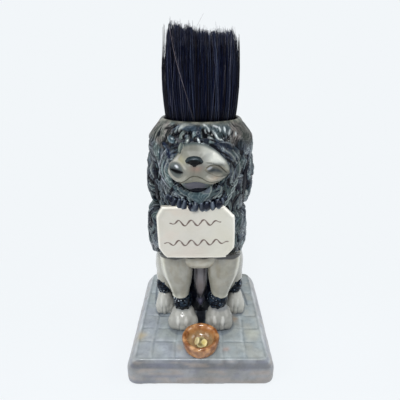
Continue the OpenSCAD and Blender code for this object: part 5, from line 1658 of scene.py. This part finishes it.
def build_placard():
    points = [(-15.0, 56.1), (-12.0, 55.6), (8.6, 55.7), (11.0, 56.5), (13.7, 59.5), (14.3, 62.0),
              (14.0, 73.6), (13.0, 75.6), (9.8, 78.9), (8.0, 79.5), (-14.0, 79.3), (-16.0, 78.6),
              (-17.8, 75.6), (-18.2, 73.4), (-17.9, 61.4), (-17.3, 59.2)]
    curve = closed_curve(points, 6)
    mid = np.array([-1.9, 68.0])
    # Points close together along the rim, so that the brushwork stays sharp
    dense = np.array([
        a * (1 - t) + b * t for a, b in zip(curve, np.roll(curve, -1, 0)) for t in np.arange(5) / 5
    ])
    # From the back over the rim and to the middle of the front, as shares and depths
    profile = [(0.3, -16.3), (0.95, -16.3), (0.995, -16.6), (1.004, -17.3)]
    steps = np.concatenate([np.linspace(0.0, 0.86, 60)[1:], np.linspace(0.87, 1.0, 16)])
    for k in steps[::-1]:
        d = np.clip((1 - k) * 14, 0, 9)
        raised = 0.18 * math.exp(-((d - 0.9) / 0.7) ** 2)
        profile.append((k, -19.0 - raised + 0.9 * max(0, 1 - d / 0.55) ** 2))
    rings = []
    for k, y in profile:
        P = mid + (dense - mid) * k
        rings.append(np.stack([P[:, 0], np.full(len(P), y), P[:, 1]], 1))
    V, F = loft(rings)
    bow = 0.35 * (((V[:, 0] + 1.9) / 16) ** 2) + 0.12 * grain(V * [1, 0, 1], 9, 81)
    V[:, 1] += bow * smooth(-V[:, 1], 16.2, 17.5)
    V[:, 1] += 0.04 * grain(V, 2.5, 82)
    x, z = V[:, 0], V[:, 2]
    front = V[:, 1] < -17.8
    d = inside(dense[::3], x, z)
    C = all_over(V, rgb(184, 181, 172))
    warm = smooth(grain(V, 8, 83), -0.2, 0.5)
    C = mix(C, rgb(188, 177, 166), 0.5 * warm * smooth(-x, -6, 4))
    C = mix(C, rgb(190, 189, 178), 0.6 * smooth(x, -2, 8))
    C = mix(C, rgb(222, 220, 210), 0.8 * smooth(-d, -1.3, -0.3))
    glint = smooth(-d, -0.6, -0.3)
    C = mix(C, rgb(240, 238, 230), 0.8 * glint * smooth(x, 6, 10) * smooth(z, 60, 66))
    # Painted shade on the plate's outermost edge, except at the right
    C = mix(C, rgb(120, 116, 104), 0.6 * smooth(-d, -0.3, -0.05) * smooth(-x, 8, 14))
    # Two brushed wavy rules
    ink = np.zeros(len(V))
    for x1, x2, z0 in [(-12.6, 8.2, 72.4), (-15.2, 11.6, 63.2)]:
        t = np.linspace(0, 1, 520)
        wx = x1 + (x2 - x1) * t
        taper = np.minimum(1, np.minimum(t, 1 - t) * 6)
        phase = wx * 2 * math.pi / RULE_WAVE
        wz = z0 + 0.03 * wx + 1.25 * taper * np.sin(phase)
        press = 0.34 * (0.5 + 0.5 * np.sin(phase + 0.9) ** 2) * (0.6 + 0.4 * taper)
        near = front & (x > x1 - 1) & (x < x2 + 1) & (np.abs(z - z0) < 4)
        ids = np.nonzero(near)[0]
        D = np.full(len(ids), 9.0)
        for a, b, c in zip(wx, wz, press):
            D = np.minimum(D, np.hypot(x[ids] - a, z[ids] - b) - c)
        ink[ids] = np.maximum(ink[ids], smooth(-D, -0.14, 0.06))
    C = mix(C, rgb(74, 50, 44), 0.95 * ink)
    C = mix(C, rgb(150, 148, 140), 0.6 * smooth(V[:, 1], -17.6, -16.8))
    piece("placard_plate", V, F, C, placard_glaze, "figure", "placard")


def build_cord():
    """Two twisted strands on either side, from the placard up to the ears."""
    parts = []
    knots = np.array([(9.2, -17.6, 78.4), (10.6, -17.7, 81.0), (12.0, -16.9, 83.6),
                      (13.4, -15.6, 86.4), (14.6, -14.0, 89.2)])
    t = np.linspace(0, 1, 60)
    phi = circle(10)
    for P, thick, colour in [(knots * [-1, 1, 1] + [-3.4, 0.7, 0], 0.26, rgb(66, 76, 82)),
                             (knots, 0.3, rgb(104, 114, 114))]:
        mid = np.stack([np.interp(t, np.linspace(0, 1, 5), P[:, i]) for i in range(3)], 1)
        for _ in range(40):
            mid[1:-1] = (mid[:-2] + mid[1:-1] * 2 + mid[2:]) / 4
        for strand in (0, 1):
            spin = t * 2 * math.pi * 2.2 + math.pi * strand
            c = mid + np.stack([0.46 * np.cos(spin), 0.3 * np.sin(spin), 0 * spin], 1)
            T = np.gradient(c, axis=0)
            T /= np.linalg.norm(T, axis=1)[:, None]
            A = np.cross(T, [0, 1, 0])
            A /= np.linalg.norm(A, axis=1)[:, None]
            B = np.cross(T, A)
            ring = A[:, None] * np.cos(phi)[None, :, None] + B[:, None] * np.sin(phi)[None, :, None]
            V, F = loft(c[:, None] + thick * ring)
            parts.append((V, F, colour))
    dressed("placard_cord_twist", parts, face_glaze, "figure", "placard_cord")


build_placard()
build_cord()


# Bowl and coins
BOWL_Y = -24.5


def build_bowl():
    b = circle(144)
    # Outside upwards, over the rolled lip and down inside
    profile = [
        (6.4, 0.0), (7.2, 0.1), (7.6, 0.5), (7.85, 1.1), (8.05, 1.8), (8.2, 2.5), (8.3, 3.3),
        (8.38, 4.0), (8.4, 4.7), (8.38, 5.3), (8.15, 5.8), (7.7, 6.05), (7.15, 6.0), (6.65, 5.7),
        (6.25, 5.1), (5.9, 4.3), (5.5, 3.4), (5.0, 2.6), (4.3, 1.9), (3.2, 1.5), (1.6, 1.35), (0.3, 1.3),
    ]
    V, F = loft(turned([
        (r * (1 + 0.006 * np.cos(8 * b + 0.4) * smooth(r, 6.5, 8) + 0.008 * np.sin(3 * b)), PAVING + z)
        for r, z in profile
    ], b, BOWL_Y))
    V = pushed(V, F, 0.05 * grain(V, 1.8, 91) + 0.10 * grain(V, 4.5, 92))
    V[:, 2] = np.maximum(V[:, 2], PAVING - 0.2)
    r = np.hypot(V[:, 0], V[:, 1] - BOWL_Y)
    g = smooth(grain(V, 2.6, 93), -0.35, 0.45)
    C = mix(rgb(126, 82, 46), rgb(168, 120, 74), g)
    lip = bell((V[:, 2] - PAVING - 5.6) / 0.7)
    C = mix(C, rgb(196, 156, 112), 0.7 * lip * g)
    inner = smooth(-r, -6.2, -5.0) * smooth(V[:, 2], PAVING + 1.0, PAVING + 1.6)
    C = mix(C, rgb(158, 136, 100), 0.75 * inner)
    C = mix(C, rgb(108, 66, 46), 0.7 * smooth(-V[:, 2], -PAVING - 1.6, -PAVING - 0.3) * (r > 5.2))
    piece("bowl_dish", V, F, C, bowl_glaze, "figure", "bowl")


def build_coins():
    parts = []
    profile = [
        (0.9, 0.0), (0.98, 0.05), (1.0, 0.18), (1.0, 0.36), (0.97, 0.48), (0.9, 0.54), (0.1, 0.54),
    ]
    # Where each lies, its tilt in degrees, its radius and its tone
    for place, tilt, r, tone in [
        ((-1.5, 0.2, 2.5), (12, -54), 1.7, (214, 204, 158)),
        ((1.7, -0.6, 2.1), (26, -40), 1.7, (214, 196, 122)),
        ((0.2, 1.6, 1.6), (8, 4), 1.75, (112, 98, 60)),
        ((-0.2, -1.5, 1.55), (-6, 6), 1.75, (122, 108, 66)),
    ]:
        V, F = loft(turned([(r * k, z) for k, z in profile], circle(48), 0))
        far = np.hypot(V[:, 0], V[:, 1]) / r
        # A painted highlight on each coin's upper edge, and painted shade on its underside
        light = smooth(far, 0.86, 0.92) * smooth(V[:, 2], 0.40, 0.5)
        foot = smooth(-V[:, 2], -0.2, 0.0)
        V = rotated(V, tilt) + [place[0], BOWL_Y + place[1], PAVING + place[2]]
        C = mix(all_over(V, rgb(*tone)), rgb(232, 222, 176), 0.5 * light)
        parts.append((V, F, mix(C, rgb(52, 40, 22), 0.9 * foot)))
    dressed("coins_heap", parts, coin_glaze, "figure", "coins")


build_bowl()
build_coins()


# Brush

def hair_material():
    mat, nodes, links, shader = new_material("bristle_hair")
    paint = nodes.new("ShaderNodeAttribute")
    paint.attribute_name = "paint"
    links.new(paint.outputs["Color"], shader.inputs["Base Color"])
    shader.inputs["Roughness"].default_value = 0.38
    shader.inputs["Specular IOR Level"].default_value = 0.16
    return mat


# Where the strands stand in the pitch, and the radius they keep inside the stock's wall
ROOT_Z = 100.8
HAIR_R = 14.3


def top_of(x):
    """Height of the tips across the brush: it stands highest at its left."""
    return np.interp(
        x,
        [-16, -14.6, -13.6, -12.5, -11, -9, -6, -2, 1, 4, 8, 11, 13, 14.5, 16],
        [141, 146.0, 146.6, 144.6, 146.6, 146.4, 145.5, 144.7, 143.9, 143.3, 143.6, 144.8, 144.4,
         142.4, 140],
    )


def barrel(z):
    """How far out a strand stands at height z: it fills the rim and swells above it."""
    return np.interp(z, [100, 110.4, 112.2, 117, 124, 132, 139, 148],
                     [1.0, 1.0, 1.05, 1.085, 1.115, 1.115, 1.09, 1.04])


GOLDEN_ANGLE = 2.39996


def sunflower(n, radius):
    """Radii and angles of n points spread evenly over a disc."""
    return radius * np.sqrt((np.arange(n) + 0.5) / n), np.arange(n) * GOLDEN_ANGLE


def shaded(V, low=110.6, high=114.5):
    """Shares of light on hair, which is dark down in the rim."""
    return (0.15 + 0.85 * smooth(V[:, 2], low, high))[:, None]


# Single strands that cross the others or stand away from them: foot and tip at x and y, the
# tip's height, half the thickness and a kind
STRAYS = [
    (-0.4, -13.9, -10.6, -9.6, 145.4, 0.13, "across"), (-1.0, -13.6, -9.4, -10.6, 143.0, 0.07, "front"),
    (-4.2, 0.5, 1.2, -2.0, 150.9, 0.10, "tall"), (13.0, -5.0, 14.6, -3.8, 143.6, 0.12, "edge"),
    (12.2, -6.6, 14.0, -5.4, 142.4, 0.12, "edge"), (-13.2, -4.0, -13.5, -3.0, 147.2, 0.16, "edge"),
    (-13.2, -3.0, -13.9, -2.6, 146.2, 0.15, "edge"), (-13.0, -4.8, -13.2, -4.0, 146.7, 0.13, "edge"),
    (-12.2, -6.4, -12.9, -4.8, 145.2, 0.12, "edge"), (7.4, -12.4, 3.2, -13.2, 143.2, 0.07, "front"),
    (3.2, -13.4, 5.6, -12.6, 143.4, 0.07, "front"), (-8.2, -11.4, -10.2, -10.0, 138.6, 0.08, "front"),
    (10.8, -9.6, 8.4, -10.6, 142.9, 0.07, "front"), (-10.9, -9.0, -8.0, -11.2, 137.0, 0.07, "front"),
    (-5.4, -12.6, -6.6, -12.2, 141.0, 0.06, "front"),
]
STRAY_TONES = {
    "across": rgb(112, 104, 110), "front": rgb(74, 76, 92), "tall": rgb(120, 116, 116),
    "edge": rgb(24, 22, 24),
}


def stray(xa, ya, xb, yb, tip, w, kind):
    t = np.linspace(0, 1, 14)
    cx = xa + (xb - xa) * t ** 1.3
    cy = ya + (yb - ya) * t
    if kind == "tall":
        cx = xa + 5.2 * t ** 7
    cz = ROOT_Z + (tip - ROOT_Z) * t
    span = np.maximum(np.hypot(cx, cy), 1e-6)
    k = barrel(cz) * (14.5 / span if kind in ("across", "front") else np.minimum(1, 14.4 / span))
    cx, cy = cx * k, cy * k
    phi = circle(5)
    V, F = loft([
        np.stack([x + w * (1 - 0.6 * u) * np.cos(phi), HEAD_Y + y + w * (1 - 0.6 * u) * np.sin(phi),
                  np.full(5, z)], 1)
        for x, y, z, u in zip(cx, cy, cz, t)
    ])
    light = shaded(V, 116.0, 132.0) if kind == "across" else shaded(V)
    return V, F, STRAY_TONES[kind] * light


def build_bristles():
    rng = np.random.default_rng(95)
    n = 7200
    r, b = sunflower(n, HAIR_R)
    b = b + rng.normal(0, 0.4, n)
    x0, y0 = r * np.cos(b), r * np.sin(b)
    # Strands gather into tufts, each with its own lean and length
    m = 230
    tr, tb = sunflower(m, 14.0)
    tx, ty = tr * np.cos(tb + 1.0), tr * np.sin(tb + 1.0)
    own = np.argmin((x0[:, None] - tx) ** 2 + (y0[:, None] - ty) ** 2, axis=1)
    lean = rng.normal(0, 0.55, (m, 2))[own]
    tall = rng.normal(0, 0.55, m)[own]
    x1 = x0 + lean[:, 0] + rng.normal(0, 0.8, n) - 0.3
    y1 = y0 + lean[:, 1] + rng.normal(0, 0.6, n)
    gather = rng.uniform(0.1, 0.5, n)
    x1 = x1 * (1 - gather) + (tx[own] + lean[:, 0]) * gather
    y1 = y1 * (1 - gather) + (ty[own] + lean[:, 1]) * gather
    top = top_of(x1 * 1.04) + tall - rng.exponential(0.5, n)
    top = np.minimum(np.where(rng.random(n) < 0.07, top + rng.uniform(0.3, 2.4, n), top), 150.4)
    top = np.where(rng.random(n) < 0.15, top - rng.uniform(1, 7, n), top)
    # The outermost tips are sparse, so that the light shows through them
    sparse = smooth(np.abs(x1), 11.2, 12.6) * 0.8
    bare = rng.random(m)[own] * 0.75 + rng.random(n) * 0.25
    short = np.minimum(top, 144) - rng.uniform(3, 13, m)[own] - rng.uniform(0, 2, n)
    top = np.where(bare < sparse, short, top)
    thick = rng.uniform(0.08, 0.15, n)
    tone = rng.random(n)
    wide = rng.random(n)
    bow = rng.normal(0, 0.6, (n, 2))
    C0 = mix(rgb(1, 2, 7), rgb(12, 21, 50), tone)
    C0 = mix(C0, rgb(17, 12, 16), (wide < 0.14) * 0.9)
    C0 = mix(C0, rgb(50, 58, 78), (wide > 0.84) * 0.9)
    C0 = mix(C0, rgb(100, 98, 108), (wide > 0.962) * 0.9)
    C0 = mix(C0, rgb(9, 8, 10), 0.85 * smooth(np.abs(x1), 11.8, 13.6))
    s = np.array([[0, 0.21, 0.25, 0.38, 0.54, 0.72, 0.87, 1.0]])
    ease = s ** 1.2
    z = ROOT_Z + (top - ROOT_Z)[:, None] * s
    px = x0[:, None] * (1 - ease) + x1[:, None] * ease + bow[:, :1] * np.sin(np.pi * s)
    py = y0[:, None] * (1 - ease) + y1[:, None] * ease + bow[:, 1:] * np.sin(np.pi * s)
    # Inside the rim the strands stand close, clear of the stock's wall
    k = barrel(z) * np.minimum(1, HAIR_R / np.maximum(np.hypot(px, py), 1e-6))
    px, py = px * k, py * k
    fat = thick[:, None] * (1 - 0.72 * smooth(s, 0.82, 1.0))
    sides = 3
    phi = circle(sides) + rng.uniform(0, 2 * math.pi, n)[:, None, None]
    V = np.stack([
        px[..., None] + fat[..., None] * np.cos(phi),
        HEAD_Y + py[..., None] + fat[..., None] * np.sin(phi),
        np.broadcast_to(z[..., None], px.shape + (sides,)),
    ], -1).reshape(-1, 3)
    m = s.size * sides
    one = tube_faces(s.size, sides) + [(2, 1, 0), (m - 3, m - 2, m - 1)]
    F = [tuple(i + c * m for i in f) for c in range(n) for f in one]
    parts = [(V, F, np.repeat(C0, m, axis=0) * shaded(V))]
    parts += [stray(*row) for row in STRAYS]
    # A slab that the strands stand in, on the pitch
    V, F = loft(turned([(HAIR_R, ROOT_Z), (HAIR_R, 101.6)], circle(72), HEAD_Y))
    parts.append((V, F, rgb(14, 14, 16)))
    dressed("bristles_hair", parts, hair_material(), "brush", "bristles")


build_bristles()


def build_stock():
    b = circle(120)
    V, F = loft(turned([
        (14.9, 89.8), (15.35, 89.95), (15.5, 90.4), (15.5, 96.0), (15.42, 96.25), (15.5, 96.5),
        (15.5, 109.9), (15.38, 110.3), (15.1, 110.6), (14.75, 110.55), (14.5, 110.2), (14.5, 94.8),
        (3, 94.8),
    ], b, HEAD_Y))
    wood = plain_material("stock_wood", (900, 900, 60), 1.0, 6.0, (112, 78, 48), (176, 134, 90), 0.5)
    piece("brush_stock_turned", V, F, None, wood, "brush", "brush_stock")
    V, F = loft(turned([
        (14.2, 94.8), (14.5, 95.0), (14.5, 100.6), (14.2, ROOT_Z), (6, 100.85),
    ], b, HEAD_Y))
    pitch = plain_material("cement_pitch", (1, 1, 1), 700, 2.0, (26, 20, 18), (58, 46, 38), 0.55)
    piece("bristle_cement_bed", V, F, None, pitch, "brush", "bristle_cement")


build_stock()


# Floor, light and camera, whose lengths are in metres

PALE = (*rgb(242, 246, 249), 1)


def build_floor():
    me = bpy.data.meshes.new("floor")
    me.from_pydata([(-3, -3, 0), (3, -3, 0), (3, 3, 0), (-3, 3, 0)], [], [(0, 1, 2, 3)])
    floor = bpy.data.objects.new("floor", me)
    bpy.context.scene.collection.objects.link(floor)
    mat, nodes, links, shader = new_material("floor_pale")
    shader.inputs["Base Color"].default_value = (*rgb(225, 228, 232), 1)
    shader.inputs["Roughness"].default_value = 0.9
    shader.inputs["Specular IOR Level"].default_value = 0.0
    # The floor takes the shadow near the object and runs into the backdrop further off
    far = nodes.new("ShaderNodeVectorMath")
    far.operation = "LENGTH"
    links.new(add(nodes, "TexCoord").outputs["Object"], far.inputs[0])
    fade = add(nodes, "MapRange", {"From Min": 0.04, "From Max": 0.16, "To Min": 0.86, "To Max": 1.0})
    links.new(far.outputs["Value"], fade.inputs["Value"])
    share = nodes.new("ShaderNodeMath")
    share.operation = "MULTIPLY"
    links.new(add(nodes, "LightPath").outputs["Is Camera Ray"], share.inputs[0])
    links.new(fade.outputs["Result"], share.inputs[1])
    glow = add(nodes, "Emission", {"Color": PALE})
    blend = add(nodes, "MixShader")
    links.new(share.outputs["Value"], blend.inputs["Fac"])
    links.new(shader.outputs["BSDF"], blend.inputs[1])
    links.new(glow.outputs["Emission"], blend.inputs[2])
    links.new(blend.outputs["Shader"], nodes["Material Output"].inputs["Surface"])
    floor.data.materials.append(mat)


def build_world():
    world = bpy.data.worlds.new("studio")
    bpy.context.scene.world = world
    world.use_nodes = True
    nodes, links = world.node_tree.nodes, world.node_tree.links
    room = nodes["Background"]
    room.inputs["Color"].default_value = (0.92, 0.96, 1.0, 1)
    room.inputs["Strength"].default_value = 0.40
    seen = add(nodes, "Background", {"Color": PALE, "Strength": 1.0})
    blend = add(nodes, "MixShader")
    links.new(add(nodes, "LightPath").outputs["Is Camera Ray"], blend.inputs["Fac"])
    links.new(room.outputs["Background"], blend.inputs[1])
    links.new(seen.outputs["Background"], blend.inputs[2])
    links.new(blend.outputs["Shader"], nodes["World Output"].inputs["Surface"])


def lamp(name, place, aim, size, power):
    """Square lamp of a size that looks at aim, with lengths in metres."""
    data = bpy.data.lights.new(name, "AREA")
    data.shape = "RECTANGLE"
    data.size = data.size_y = size
    data.energy = power
    ob = bpy.data.objects.new(name, data)
    bpy.context.scene.collection.objects.link(ob)
    ob.location = place
    ob.rotation_euler = (Vector(aim) - Vector(place)).to_track_quat("-Z", "Y").to_euler()


def build_camera():
    cam = bpy.data.cameras.new("camera")
    ob = bpy.data.objects.new("camera", cam)
    bpy.context.scene.collection.objects.link(ob)
    ob.location = (0, -0.1407, 0.1305)
    ob.rotation_euler = (math.radians(90 - 20.91), 0, 0)
    cam.sensor_width = 36
    cam.lens = 29.58
    cam.shift_x = -0.00175
    cam.shift_y = -0.0095
    cam.clip_start = 0.005
    bpy.context.scene.camera = ob


build_floor()
build_world()
lamp("key", (-0.06, -0.42, 0.55), (0, 0, 0.07), 0.16, 2.6)
lamp("fill", (-0.50, -0.30, 0.32), (0, 0, 0.07), 0.40, 1.4)
lamp("rim", (0.50, -0.05, 0.35), (0, 0, 0.08), 0.30, 1.0)
lamp("top", (0.0, 0.05, 0.75), (0, 0, 0.05), 0.5, 1.8)
build_camera()
bpy.context.scene.view_settings.view_transform = "Standard"
